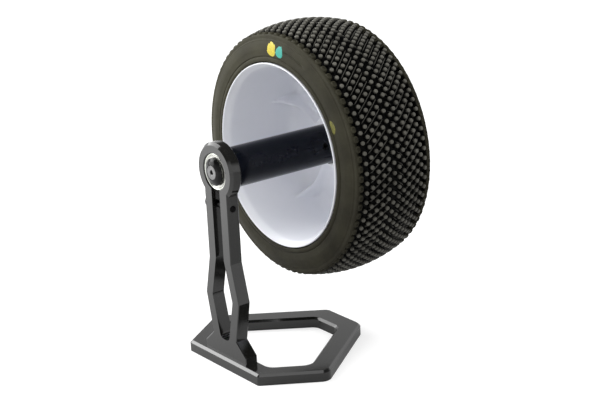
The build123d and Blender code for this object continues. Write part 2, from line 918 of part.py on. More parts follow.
# Foam insert: a ring that fills the tyre round the barrel.  Its outside follows
# the arc of the crown's inside.
foam_inner_radius = bead_ridge_diameter / 2 + foam_clearance
foam_outer_radius = inner_crown_radius - foam_clearance
inner_crown_rise = inner_crown_radius - inner_shoulder[0]
inner_crown_half_width = rim_middle - inner_shoulder[1]
inner_crown_curve = (inner_crown_half_width**2 + inner_crown_rise**2) / (
    2 * inner_crown_rise
)
foam_half_width = inner_crown_half_width - foam_side_clearance
foam_shoulder_drop = inner_crown_curve - math.sqrt(
    inner_crown_curve**2 - foam_half_width**2
)
foam_shoulder_radius = foam_outer_radius - foam_shoulder_drop

with BuildPart() as foam_insert:
    with BuildSketch(axle_section):
        with BuildLine():
            ThreePointArc(
                (foam_shoulder_radius, rim_middle - foam_half_width),
                (foam_outer_radius, rim_middle),
                (foam_shoulder_radius, rim_middle + foam_half_width),
            )
            Polyline(
                (foam_shoulder_radius, rim_middle + foam_half_width),
                (foam_inner_radius, rim_middle + foam_half_width),
                (foam_inner_radius, rim_middle - foam_half_width),
                (foam_shoulder_radius, rim_middle - foam_half_width),
            )
        make_face()
    revolve(axis=axle)
save(foam_insert.part, "foam_insert")

# Wheel nut: a hexagon with a round flange, on the adaptor's stud.
with BuildPart() as wheel_nut:
    with BuildSketch(across_axle(nut_front + nut_flange_thickness)):
        Circle(radius=nut_flange_diameter / 2)
    extrude(amount=nut_flange_thickness)
    with BuildSketch(across_axle(nut_back)):
        RegularPolygon(
            radius=nut_width / 2, side_count=6, major_radius=False, rotation=corner_up
        )
    extrude(amount=nut_length)
    chamfer(
        wheel_nut.faces().sort_by(Axis.Y)[-1].edges(),
        length=nut_edge_break,
    )
    with BuildSketch(across_axle(nut_back + overrun)):
        Circle(radius=stud_diameter / 2 + nut_clearance)
    extrude(amount=nut_length + 2 * overrun, mode=Mode.SUBTRACT)
save(wheel_nut.part, "wheel_nut")
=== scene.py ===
"""Bench balancer for small car wheels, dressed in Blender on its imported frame.

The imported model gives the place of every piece.  Each class below builds or
dresses one sub-assembly round the spindle's axis, which runs along +Y.  Sizes
are in millimetres inside the classes and become metres as a mesh is made.
"""

import logging
import math
from collections.abc import Callable, Sequence
from dataclasses import dataclass
from enum import Enum

import bmesh
import bpy
from mathutils import Matrix, Vector


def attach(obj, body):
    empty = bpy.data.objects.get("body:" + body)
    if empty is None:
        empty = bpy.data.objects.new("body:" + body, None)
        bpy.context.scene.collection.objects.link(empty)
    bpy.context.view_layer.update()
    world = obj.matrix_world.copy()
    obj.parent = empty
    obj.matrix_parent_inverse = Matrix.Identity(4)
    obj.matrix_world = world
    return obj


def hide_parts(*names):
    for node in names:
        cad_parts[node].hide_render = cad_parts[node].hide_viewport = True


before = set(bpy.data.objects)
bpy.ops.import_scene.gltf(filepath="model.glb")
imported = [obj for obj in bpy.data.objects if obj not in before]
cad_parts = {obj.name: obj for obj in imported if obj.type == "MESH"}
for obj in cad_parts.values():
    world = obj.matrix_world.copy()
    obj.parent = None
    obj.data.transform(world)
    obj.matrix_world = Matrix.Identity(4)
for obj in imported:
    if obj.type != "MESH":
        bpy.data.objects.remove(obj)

logger = logging.getLogger("wheel_balancer")

# In metres.
MILLIMETRE = 0.001
WELD_DISTANCE = 1e-4 * MILLIMETRE

# In degrees.
FULL_TURN = 360.0
SIXTH_TURN = 60.0
CORNER_UP = 90.0

# In millimetres.
AXLE_HEIGHT = 89.25
TYRE_MIDDLE = 51.7
TYRE_RADIUS = 56.5
CROWN_RADIUS = 62.0

Point = tuple[float, float]
Triple = tuple[float, float, float]
Corner = Triple
Colour = Triple
Place = Triple
Face = tuple[int, ...]
Outline = list[Point]
OutlineAt = Callable[[float], Outline]
Socket = bpy.types.NodeSocket
Value = float | tuple[float, ...] | Socket


class Body(Enum):
    """The frame's bodies that a piece can ride on."""

    STAND = "stand"
    ROTOR = "rotor"
    WHEEL_AND_TYRE = "wheel_and_tyre"
    NUT = "nut"


class Slot(Enum):
    """The record's material slots."""

    BLACK_ANODISED = "black_anodised"
    GLOSS_ANODISED = "gloss_anodised"
    BLACK_SCREW_STEEL = "black_screw_steel"
    BEARING_STEEL = "bearing_steel"
    SHIELD_STEEL = "shield_steel"
    WHITE_PLASTIC = "white_plastic"
    TYRE_RUBBER = "tyre_rubber"
    FOAM = "foam"


# Outlines and meshes round the spindle's axis.


def place(radius: float, station: float, angle: float) -> Vector:
    """Give the point at a radius, a station along the axle and an angle round it.

    Args:
        radius: Distance from the axle, in millimetres.
        station: Distance along the axle, in millimetres.
        angle: Degrees from +X towards +Z.

    Returns:
        The point in metres.
    """
    turn = math.radians(angle)
    return Vector(
        (
            radius * math.cos(turn) * MILLIMETRE,
            station * MILLIMETRE,
            (AXLE_HEIGHT + radius * math.sin(turn)) * MILLIMETRE,
        )
    )


def rounded(corners: Sequence[Corner], steps: int = 4, closed: bool = True) -> Outline:
    """Round the corners of an outline with arcs.

    Args:
        corners: Radius, station and rounding of each corner, in millimetres.
        steps: Pieces in each arc.
        closed: Whether the last corner joins the first.

    Returns:
        The outline, with steps + 1 points for each rounded corner.
    """
    outline: Outline = []
    total = len(corners)
    for index, (radius, station, rounding) in enumerate(corners):
        here = Vector((radius, station))
        if rounding <= 0 or (not closed and index in (0, total - 1)):
            outline.append((radius, station))
            continue
        before = Vector(corners[index - 1][:2]) - here
        after = Vector(corners[(index + 1) % total][:2]) - here
        half = before.angle(after) / 2
        reach = min(rounding / math.tan(half), 0.49 * before.length, 0.49 * after.length)
        middle = (before.normalized() + after.normalized()).normalized()
        fit_radius = reach * math.tan(half)
        centre = here + middle * (fit_radius / math.sin(half))
        start = here + before.normalized() * reach - centre
        end = here + after.normalized() * reach - centre
        sweep = start.angle_signed(end)
        for step in range(steps + 1):
            turned = start.copy()
            turned.rotate(Matrix.Rotation(-sweep * step / steps, 2))
            outline.append((centre.x + turned.x, centre.y + turned.y))
    return outline


def even_angles(count: int) -> list[float]:
    """Give evenly spaced angles round the axle, in degrees."""
    return [FULL_TURN * index / count for index in range(count)]


def hexagon_radius(angle: float, across_flats: float, corner_at: float, corner_cut: float = 0.0) -> float:
    """Give a hexagon's radius in one direction.

    Args:
        angle: Direction round the axle, in degrees.
        across_flats: Width across the flats, in millimetres.
        corner_at: Direction of one of the corners, in degrees.
        corner_cut: How far the corners are turned down, in millimetres.

    Returns:
        The radius in millimetres.
    """
    half_pitch = SIXTH_TURN / 2
    offset = (angle - corner_at) % SIXTH_TURN - half_pitch
    corner_radius = across_flats / 2 / math.cos(math.radians(half_pitch))
    radius = across_flats / 2 / math.cos(math.radians(offset))
    return min(radius, corner_radius - corner_cut)


def bend(start: Point, corner: Point, end: Point, share: float) -> Point:
    """Give a point on the smooth bend that replaces a corner.

    Args:
        start: Where the bend starts.
        corner: The corner that it rounds.
        end: Where it ends.
        share: How far along the bend the point is, from 0 to 1.

    Returns:
        The point.
    """
    keep, pull = (1 - share) ** 2, 2 * share * (1 - share)
    return tuple(keep * a + pull * b + share * share * c for a, b, c in zip(start, corner, end))


def three_point_arc(start: Point, middle: Point, end: Point, pieces: int) -> Outline:
    """Sample the arc through three points, both ends included.

    Args:
        start: First point.
        middle: A point on the arc.
        end: Last point.
        pieces: Number of equal pieces.

    Returns:
        The points of the arc.
    """
    (ax, ay), (bx, by), (cx, cy) = start, middle, end
    twice_area = 2 * (ax * (by - cy) + bx * (cy - ay) + cx * (ay - by))
    a, b, c = ax * ax + ay * ay, bx * bx + by * by, cx * cx + cy * cy
    centre_x = (a * (by - cy) + b * (cy - ay) + c * (ay - by)) / twice_area
    centre_y = (a * (cx - bx) + b * (ax - cx) + c * (bx - ax)) / twice_area
    first, through, last = (Vector((x - centre_x, y - centre_y)) for x, y in (start, middle, end))
    half_turn = first.angle_signed(through)
    rest_turn = through.angle_signed(last)
    points: Outline = []
    for step in range(pieces + 1):
        turned = first.copy()
        turned.rotate(Matrix.Rotation(-(half_turn + rest_turn) * step / pieces, 2))
        points.append((centre_x + turned.x, centre_y + turned.y))
    return points


def add_object(name: str, data: bpy.types.ID) -> bpy.types.Object:
    """Put a new object in the scene."""
    added = bpy.data.objects.new(name, data)
    bpy.context.scene.collection.objects.link(added)
    return added


def make_piece(name: str, points: Sequence[Vector], faces: Sequence[Face]) -> bpy.types.Object:
    """Make a smooth-shaded mesh object from points and faces.

    Args:
        name: Name of the new piece.
        points: Vertices in metres.
        faces: Vertex indices of each face.

    Returns:
        The new object.
    """
    mesh = bpy.data.meshes.new(name)
    mesh.from_pydata([tuple(point) for point in points], [], [tuple(face) for face in faces])
    work = bmesh.new()
    work.from_mesh(mesh)
    bmesh.ops.remove_doubles(work, verts=work.verts, dist=WELD_DISTANCE)
    bmesh.ops.recalc_face_normals(work, faces=work.faces)
    for face in work.faces:
        face.smooth = True
    work.to_mesh(mesh)
    work.free()
    return add_object(name, mesh)


def swept_faces(turns: int, count: int, closed: bool) -> list[Face]:
    """Join outlines that stand round an axis.

    Args:
        turns: Number of outlines.
        count: Number of points in each.
        closed: Whether an outline's last point joins its first.

    Returns:
        The faces, for points that are listed outline by outline.
    """
    faces: list[Face] = []
    for turn in range(turns):
        here = turn * count
        following = (turn + 1) % turns * count
        for step in range(count if closed else count - 1):
            after = (step + 1) % count
            faces.append((here + step, here + after, following + after, following + step))
    return faces


def stacked_faces(first: int, rings: int, sides: int) -> list[Face]:
    """Join rings of points that lie one above another, and close the top.

    Args:
        first: Index of the lowest ring's first point.
        rings: Number of rings.
        sides: Number of points in each.

    Returns:
        The faces.
    """
    faces: list[Face] = []
    for ring in range(rings - 1):
        low = first + ring * sides
        for side in range(sides):
            after = (side + 1) % sides
            faces.append((low + side, low + after, low + sides + after, low + sides + side))
    faces.append(tuple(first + (rings - 1) * sides + side for side in range(sides)))
    return faces


def turned_piece(
    name: str,
    outline_at: OutlineAt,
    angles: Sequence[float],
    closed: bool = True,
) -> bpy.types.Object:
    """Turn an outline round the axle; the outline may change with the angle.

    Args:
        name: Name of the new piece.
        outline_at: Gives the outline at an angle, always with as many points.
        angles: Directions at which the outline is taken, in degrees.
        closed: Whether the outline's last point joins its first.

    Returns:
        The new object.
    """
    points: list[Vector] = []
    count = len(outline_at(angles[0]))
    for angle in angles:
        points.extend(place(radius, station, angle) for radius, station in outline_at(angle))
    piece = make_piece(name, points, swept_faces(len(angles), count, closed))
    weigh_normals(piece)
    return piece


def weigh_normals(piece: bpy.types.Object, lead: int = 60) -> None:
    """Keep large faces flat in the shading beside small rounded edges."""
    shading = piece.modifiers.new("large faces lead the shading", "WEIGHTED_NORMAL")
    shading.keep_sharp = True
    shading.weight = lead


def ease_edges(node: bpy.types.Object, width: float, pieces: int = 2, sharper_than: float = 25.0) -> None:
    """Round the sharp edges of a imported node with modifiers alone.

    Args:
        node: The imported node's object.
        width: Width of the rounding, in millimetres.
        pieces: Segments in the rounding.
        sharper_than: Least angle of an edge that is rounded, in degrees.
    """
    weld = node.modifiers.new("joined faces", "WELD")
    weld.merge_threshold = 10 * WELD_DISTANCE
    bevel = node.modifiers.new("eased edges", "BEVEL")
    bevel.width = width * MILLIMETRE
    bevel.segments = pieces
    bevel.limit_method = "ANGLE"
    bevel.angle_limit = math.radians(sharper_than)
    bevel.use_clamp_overlap = True
    bevel.miter_outer = "MITER_ARC"
    weigh_normals(node)


def settle(piece: bpy.types.Object, body: Body, slot: Slot, finish: "Finish", *nodes: str) -> None:
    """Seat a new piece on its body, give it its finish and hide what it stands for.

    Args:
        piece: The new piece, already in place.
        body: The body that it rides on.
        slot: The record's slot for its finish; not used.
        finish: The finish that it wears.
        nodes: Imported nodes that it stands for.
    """
    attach(piece, body.value)
    if nodes:
        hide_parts(*nodes)
    finish.dress(piece)


# Shader nodes and finishes: a finish makes its material once and dresses pieces with it.


class Wiring:
    """Lays out and wires nodes in one tree."""

    def __init__(self, tree: bpy.types.NodeTree) -> None:
        """Start on a tree."""
        self.nodes = tree.nodes
        self.links = tree.links

    def feed(self, socket: Socket, value: Value) -> None:
        """Wire a socket from another one, or set it to a plain value.

        Args:
            socket: The socket to feed.
            value: What it is fed.
        """
        if isinstance(value, Socket):
            self.links.new(value, socket)
        else:
            socket.default_value = value

    def add(self, kind: str, **values: Value) -> bpy.types.Node:
        """Add a node and feed its inputs.

        Args:
            kind: The node's type.
            values: What each input is fed; an underscore stands for a space.

        Returns:
            The node.
        """
        node = self.nodes.new(kind)
        for name, value in values.items():
            self.feed(node.inputs[name.replace("_", " ")], value)
        return node

    def spread(
        self,
        source: Socket,
        low: float | Socket = 0.0,
        high: float | Socket = 1.0,
        start: float = 0.3,
        end: float = 0.7,
    ) -> Socket:
        """Map a factor to a range of values.

        Args:
            source: The factor.
            low: Value where the factor is at start.
            high: Value where the factor is at end.
            start: Factor that gives the low value.
            end: Factor that gives the high value.

        Returns:
            The mapped value's socket.
        """
        limits = {"From_Min": start, "From_Max": end, "To_Min": low, "To_Max": high}
        return self.add("ShaderNodeMapRange", Value=source, **limits).outputs["Result"]

    def calculate(self, operation: str, *values: float | Socket) -> Socket:
        """Work out a number from others.

        Args:
            operation: The sum to do.
            values: What it is done to, each a number or a socket.

        Returns:
            The result's socket.
        """
        sum_node = self.add("ShaderNodeMath")
        sum_node.operation = operation
        for socket, value in zip(sum_node.inputs, values):
            self.feed(socket, value)
        return sum_node.outputs["Value"]


class NodeBoard(Wiring):
    """Lays out and wires the shader nodes of one material."""

    def __init__(self, name: str) -> None:
        """Start a material with a Principled shader and nothing else.

        Args:
            name: Name of the material.
        """
        self.material = bpy.data.materials.new(name)
        self.material.use_nodes = True
        super().__init__(self.material.node_tree)
        self.shader = self.nodes["Principled BSDF"]
        self.here = self.add("ShaderNodeTexCoord").outputs["Object"]

    def set_shader(self, **values: Value) -> None:
        """Feed the Principled shader's own sockets; an underscore stands for a space."""
        for name, value in values.items():
            self.feed(self.shader.inputs[name.replace("_", " ")], value)

    def noise(
        self,
        per_mm: float,
        detail: float = 3.0,
        roughness: float = 0.55,
        stretch: Point | None = None,
    ) -> Socket:
        """Give a noise of a certain fineness.

        Args:
            per_mm: Noise cells in a millimetre.
            detail: Octaves of finer noise.
            roughness: Strength of the finer octaves.
            stretch: Scales along and across the axle, for a brushed or turned grain.

        Returns:
            The noise's factor socket.
        """
        source = self.here
        if stretch:
            along, across = stretch
            stretched = self.add("ShaderNodeMapping", Scale=(across, along, across), Vector=source)
            source = stretched.outputs["Vector"]
        texture = self.add(
            "ShaderNodeTexNoise",
            Scale=per_mm / MILLIMETRE,
            Detail=detail,
            Roughness=roughness,
            Vector=source,
        )
        return texture.outputs["Fac"]

    def blend(self, factor: Socket, first: Colour | Socket, second: Colour | Socket) -> Socket:
        """Mix two colours by a factor.

        Args:
            factor: 0 for the first colour, 1 for the second.
            first: A colour or a socket.
            second: A colour or a socket.

        Returns:
            The mixed colour's socket.
        """
        mix = self.add("ShaderNodeMix")
        mix.data_type = "RGBA"
        self.feed(mix.inputs["Factor"], factor)
        for socket, value in ((mix.inputs[6], first), (mix.inputs[7], second)):
            self.feed(socket, value if isinstance(value, Socket) else (*value, 1.0))
        return mix.outputs[2]

    def along_axle(self, middle: float) -> Socket:
        """Give the distance from a station, on either side of it.

        Args:
            middle: The station in millimetres.

        Returns:
            The distance in metres.
        """
        parts = self.add("ShaderNodeSeparateXYZ", Vector=self.here)
        offset = self.calculate("SUBTRACT", parts.outputs["Y"], middle * MILLIMETRE)
        return self.calculate("ABSOLUTE", offset)

    def from_axle(self) -> Socket:
        """Give the distance from the axle.

        Returns:
            The distance in metres.
        """
        parts = self.add("ShaderNodeSeparateXYZ", Vector=self.here)
        rise = self.calculate("SUBTRACT", parts.outputs["Z"], AXLE_HEIGHT * MILLIMETRE)
        squares = self.calculate("MULTIPLY", rise, rise)
        across = self.calculate("MULTIPLY", parts.outputs["X"], parts.outputs["X"])
        return self.calculate("SQRT", self.calculate("ADD", squares, across))

    def emboss(self, layers: Sequence[tuple[Socket, float]]) -> None:
        """Raise the surface by several layers of height.

        Args:
            layers: Each layer's height factor and its depth in millimetres.
        """
        below: dict[str, Socket] = {}
        for height, depth in layers:
            scale = depth * MILLIMETRE
            bump = self.add("ShaderNodeBump", Strength=1.0, Distance=scale, Height=height, **below)
            below = {"Normal": bump.outputs["Normal"]}
        self.set_shader(**below)

    def worn_edges(self, start: float = 0.53, end: float = 0.62) -> Socket:
        """Give a factor that rises on the outer edges, where handling wears them.

        Args:
            start: Sharpness of edge that gives 0.
            end: Sharpness of edge that gives 1.

        Returns:
            The factor's socket.
        """
        geometry = self.add("ShaderNodeNewGeometry")
        return self.spread(geometry.outputs["Pointiness"], start=start, end=end)


@dataclass(frozen=True)
class Finish:
    """A finish that makes its material the first time that it is worn."""

    name: str

    def lay_out(self, board: NodeBoard) -> None:
        """Wire the material; each kind of finish has its own way."""
        raise NotImplementedError

    def dress(self, piece: bpy.types.Object) -> None:
        """Put the material on a piece in place of what it wore.

        Args:
            piece: The piece to dress.
        """
        material = bpy.data.materials.get(self.name)
        if material is None:
            board = NodeBoard(self.name)
            self.lay_out(board)
            material = board.material
        piece.data.materials.clear()
        piece.data.materials.append(material)


@dataclass(frozen=True)
class AnodisedFinish(Finish):
    """Dyed anodised aluminium: glossy over a very fine grain, and paler on its edges."""

    dye: Colour = (0.005, 0.005, 0.0045)
    sheen_dye: Colour = (0.008, 0.008, 0.007)
    edge_dye: Colour = (0.02, 0.02, 0.02)
    edge_share: float = 0.35
    roughness: Point = (0.09, 0.14)
    specular: float = 0.72
    grain_depth: float = 0.0008
    grain_stretch: Point | None = None

    def lay_out(self, board: NodeBoard) -> None:
        """Wire the dye, the grain and the paler edges.

        Args:
            board: The material's board.
        """
        board.set_shader(Specular_IOR_Level=self.specular)
        cloud = board.noise(per_mm=0.12, detail=4.0)
        grain = board.noise(per_mm=6.0, detail=2.0, stretch=self.grain_stretch)
        dye = board.blend(board.spread(cloud), self.dye, self.sheen_dye)
        worn = board.spread(board.worn_edges(), 0.0, self.edge_share, 0.0, 1.0)
        board.set_shader(Base_Color=board.blend(worn, dye, self.edge_dye))
        board.set_shader(Roughness=board.spread(grain, *self.roughness))
        board.emboss([(grain, self.grain_depth)])


@dataclass(frozen=True)
class SteelFinish(Finish):
    """Ground, polished or blackened steel."""

    colour: Colour = (0.72, 0.74, 0.68)
    shade: Colour = (0.52, 0.53, 0.48)
    roughness: Point = (0.12, 0.24)
    grind_depth: float = 0.003
    grind_stretch: Point = (3.0, 0.2)

    def lay_out(self, board: NodeBoard) -> None:
        """Wire the metal's colour and the marks of its grinding.

        Args:
            board: The material's board.
        """
        board.set_shader(Metallic=1.0)
        cloud = board.noise(per_mm=0.4)
        marks = board.noise(per_mm=5.0, detail=2.0, stretch=self.grind_stretch)
        board.set_shader(Base_Color=board.blend(board.spread(cloud), self.colour, self.shade))
        board.set_shader(Roughness=board.spread(marks, *self.roughness))
        board.emboss([(marks, self.grind_depth)])


@dataclass(frozen=True)
class MouldedPlasticFinish(Finish):
    """White moulded nylon with a faint lavender cast and a fine satin skin."""

    colour: Colour = (0.88, 0.89, 0.94)
    shade: Colour = (0.85, 0.865, 0.92)
    roughness: Point = (0.36, 0.48)
    glow_depth: float = 1.2
    flow_depth: float = 0.05
    skin_depth: float = 0.004

    def lay_out(self, board: NodeBoard) -> None:
        """Wire the body colour, the flow marks and the satin skin.

        Args:
            board: The material's board.
        """
        board.set_shader(Specular_IOR_Level=0.45, Subsurface_Weight=0.12)
        board.set_shader(Subsurface_Scale=self.glow_depth * MILLIMETRE, Subsurface_Radius=(1.0, 0.9, 1.0))
        flow = board.noise(per_mm=0.05)
        skin = board.noise(per_mm=4.0, detail=2.0)
        board.set_shader(Base_Color=board.blend(board.spread(flow), self.colour, self.shade))
        board.set_shader(Roughness=board.spread(skin, *self.roughness))
        board.emboss([(flow, self.flow_depth), (skin, self.skin_depth)])


@dataclass(frozen=True)
class RubberFinish(Finish):
    """Moulded rubber with dusty patches, a painted light gradient lighter towards the tyre's upper left,
    painted shade in the band between the pins and a fine mould texture.
    """

    colour: Colour = (0.023, 0.021, 0.0145)
    # Lighter colour that both the dust patches and the painted light towards the upper left blend the
    # rubber to.
    bloom_and_painted_light: Colour = (0.056, 0.053, 0.034)
    # Near-black painted shade for the band between the pins.
    ground: Colour = (0.002, 0.002, 0.002)
    roughness: Point = (0.52, 0.70)
    specular: float = 0.10
    # Range of the painted light gradient, from the lower right to the upper left.
    painted_light_spread: Point = (0.25, 0.75)
    patchiness: Point = (-0.3, 0.3)
    patch_depth: float = 0.06
    texture_depth: float = 0.012
    # Distances from the tyre's middle over which the painted shade fades into the sidewall.
    ground_edge: Point = (17.0, 17.9)

    def lay_out(self, board: NodeBoard) -> None:
        """Wire the rubber's colour, its dust and painted light, its painted shade and the mould's
        texture.

        Args:
            board: The material's board.
        """
        board.set_shader(Specular_IOR_Level=self.specular)
        patches = board.noise(per_mm=0.09, detail=5.0, roughness=0.6)
        texture = board.noise(per_mm=3.0, detail=4.0)
        # Dust patches plus painted light, lighter towards the tyre's upper left.
        dust_and_painted_light = board.calculate("ADD", board.spread(patches, *self.patchiness), self.dust_and_painted_light(board))
        rubber = board.blend(board.spread(dust_and_painted_light, start=0.0, end=1.0), self.colour, self.bloom_and_painted_light)
        # Painted shade: near black where the mask is 0.
        board.set_shader(Base_Color=board.blend(self.painted_shade_mask(board), self.ground, rubber))
        board.set_shader(Roughness=board.spread(texture, *self.roughness))
        board.emboss([(patches, self.patch_depth), (texture, self.texture_depth)])

    def dust_and_painted_light(self, board: NodeBoard) -> Socket:
        """Give a painted light gradient: lightest at the tyre's upper left and darkest at its lower
        right.

        Args:
            board: The material's board.

        Returns:
            The factor's socket.
        """
        parts = board.add("ShaderNodeSeparateXYZ", Vector=board.here)
        rise = board.calculate("SUBTRACT", parts.outputs["Z"], AXLE_HEIGHT * MILLIMETRE)
        slope = board.calculate("SUBTRACT", rise, parts.outputs["X"])
        reach = TYRE_RADIUS * MILLIMETRE
        return board.spread(slope, *self.painted_light_spread, -reach, reach)

    def painted_shade_mask(self, board: NodeBoard) -> Socket:
        """Give the painted shade mask: 0 for near-black painted shade in the band between the pins and 1
        on the sidewall.

        Args:
            board: The material's board.

        Returns:
            The factor's socket.
        """
        offset = board.along_axle(TYRE_MIDDLE)
        start, end = (distance * MILLIMETRE for distance in self.ground_edge)
        return board.spread(offset, start=start, end=end)


@dataclass(frozen=True)
class TreadFinish(RubberFinish):
    """Tread rubber: dust and painted light on the tops of the pins, and near-black painted shade down
    their sides and in the gaps.
    """

    # Depths under the pins' tops where the painted shade starts and where it is full.
    top_depth: float = 0.10
    ground_depth: float = 1.25

    def painted_shade_mask(self, board: NodeBoard) -> Socket:
        """Give the painted shade mask: 1 on the tops of the pins and 0, near-black painted shade, down in
        the gaps.

        Args:
            board: The material's board.

        Returns:
            The factor's socket.
        """
        centre = (TYRE_RADIUS - CROWN_RADIUS) * MILLIMETRE
        out = board.calculate("SUBTRACT", board.from_axle(), centre)
        offset = board.along_axle(TYRE_MIDDLE)
        squares = board.calculate("MULTIPLY", out, out)
        reach = board.calculate("SQRT", board.calculate("MULTIPLY_ADD", offset, offset, squares))
        depth = board.calculate("SUBTRACT", CROWN_RADIUS * MILLIMETRE, reach)
        return board.spread(depth, 1.0, 0.0, self.top_depth * MILLIMETRE, self.ground_depth * MILLIMETRE)


@dataclass(frozen=True)
class FoamFinish(Finish):
    """Open-cell foam."""

    colour: Colour = (0.20, 0.20, 0.20)
    pore_colour: Colour = (0.10, 0.10, 0.10)
    cells_per_mm: float = 1.1
    cell_depth: float = 0.3

    def lay_out(self, board: NodeBoard) -> None:
        """Wire the foam's cells.

        Args:
            board: The material's board.
        """
        board.set_shader(Specular_IOR_Level=0.2)
        cells = board.add("ShaderNodeTexVoronoi", Scale=self.cells_per_mm / MILLIMETRE, Vector=board.here)
        depth = cells.outputs["Distance"]
        shade = board.spread(depth, start=0.1, end=0.6)
        board.set_shader(Base_Color=board.blend(shade, self.colour, self.pore_colour))
        board.set_shader(Roughness=board.spread(depth, 0.85, 0.98, 0.0, 1.0))
        board.emboss([(depth, self.cell_depth)])


@dataclass(frozen=True)
class PaintFinish(Finish):
    """A dab of marking paint with a slightly uneven film."""

    colour: Colour = (0.75, 0.62, 0.05)
    thin: Colour = (0.55, 0.45, 0.04)
    roughness: Point = (0.30, 0.45)
    film_depth: float = 0.02

    def lay_out(self, board: NodeBoard) -> None:
        """Wire the film's colour and its brush texture.

        Args:
            board: The material's board.
        """
        board.set_shader(Specular_IOR_Level=0.25)
        film = board.noise(per_mm=1.6)
        board.set_shader(Base_Color=board.blend(board.spread(film), self.colour, self.thin))
        board.set_shader(Roughness=board.spread(film, *self.roughness))
        board.emboss([(film, self.film_depth)])


TURNING_MARKS: Point = (1.0, 0.12)

PLATE_FINISH = AnodisedFinish("black anodised plate")
TURNED_FINISH = AnodisedFinish(
    "black anodised turning",
    dye=(0.002, 0.003, 0.006),
    sheen_dye=(0.003, 0.004, 0.008),
    roughness=(0.11, 0.15),
    specular=0.14,
    grain_depth=0.0006,
    grain_stretch=TURNING_MARKS,
)
WASHER_FINISH = AnodisedFinish(
    "gloss black washer",
    dye=(0.003, 0.003, 0.003),
    sheen_dye=(0.005, 0.005, 0.005),
    roughness=(0.05, 0.08),
    specular=0.14,
    grain_depth=0.0005,
    grain_stretch=TURNING_MARKS,
)
SCREW_FINISH = SteelFinish(
    "blackened screw steel",
    colour=(0.012, 0.012, 0.012),
    shade=(0.007, 0.007, 0.007),
    roughness=(0.26, 0.40),
)
FACED_SCREW_FINISH = SteelFinish(
    "worn screw face",
    colour=(0.22, 0.22, 0.22),
    shade=(0.14, 0.14, 0.14),
    roughness=(0.26, 0.38),
)
BEARING_FINISH = SteelFinish("ground bearing steel")
SHIELD_FINISH = SteelFinish(
    "pressed shield steel",
    colour=(0.60, 0.60, 0.57),
    shade=(0.48, 0.48, 0.45),
    roughness=(0.25, 0.38),
)
NYLON_FINISH = MouldedPlasticFinish("white moulded nylon")
# Sidewall, tread and rib rubber carry dust and painted light towards the tyre's upper left, and
# near-black painted shade between the pins.
SIDEWALL_FINISH = RubberFinish("tyre sidewall rubber")
TREAD_FINISH = TreadFinish(
    "tyre tread rubber",
    colour=(0.055, 0.052, 0.043),
    bloom_and_painted_light=(0.170, 0.165, 0.140),
    roughness=(0.40, 0.55),
    specular=0.25,
)
RIB_FINISH = TreadFinish(
    "tyre low rib rubber",
    colour=(0.040, 0.038, 0.033),
    bloom_and_painted_light=(0.120, 0.117, 0.100),
    roughness=(0.45, 0.60),
    specular=0.20,
    top_depth=1.3,
    ground_depth=2.0,
)
FOAM_FINISH = FoamFinish("open cell foam")
YELLOW_PAINT = PaintFinish("yellow marking paint")
TEAL_PAINT = PaintFinish("teal marking paint", colour=(0.04, 0.45, 0.36), thin=(0.04, 0.32, 0.27))
FADED_PAINT = PaintFinish("faded yellow paint", colour=(0.22, 0.21, 0.035), thin=(0.09, 0.085, 0.035))


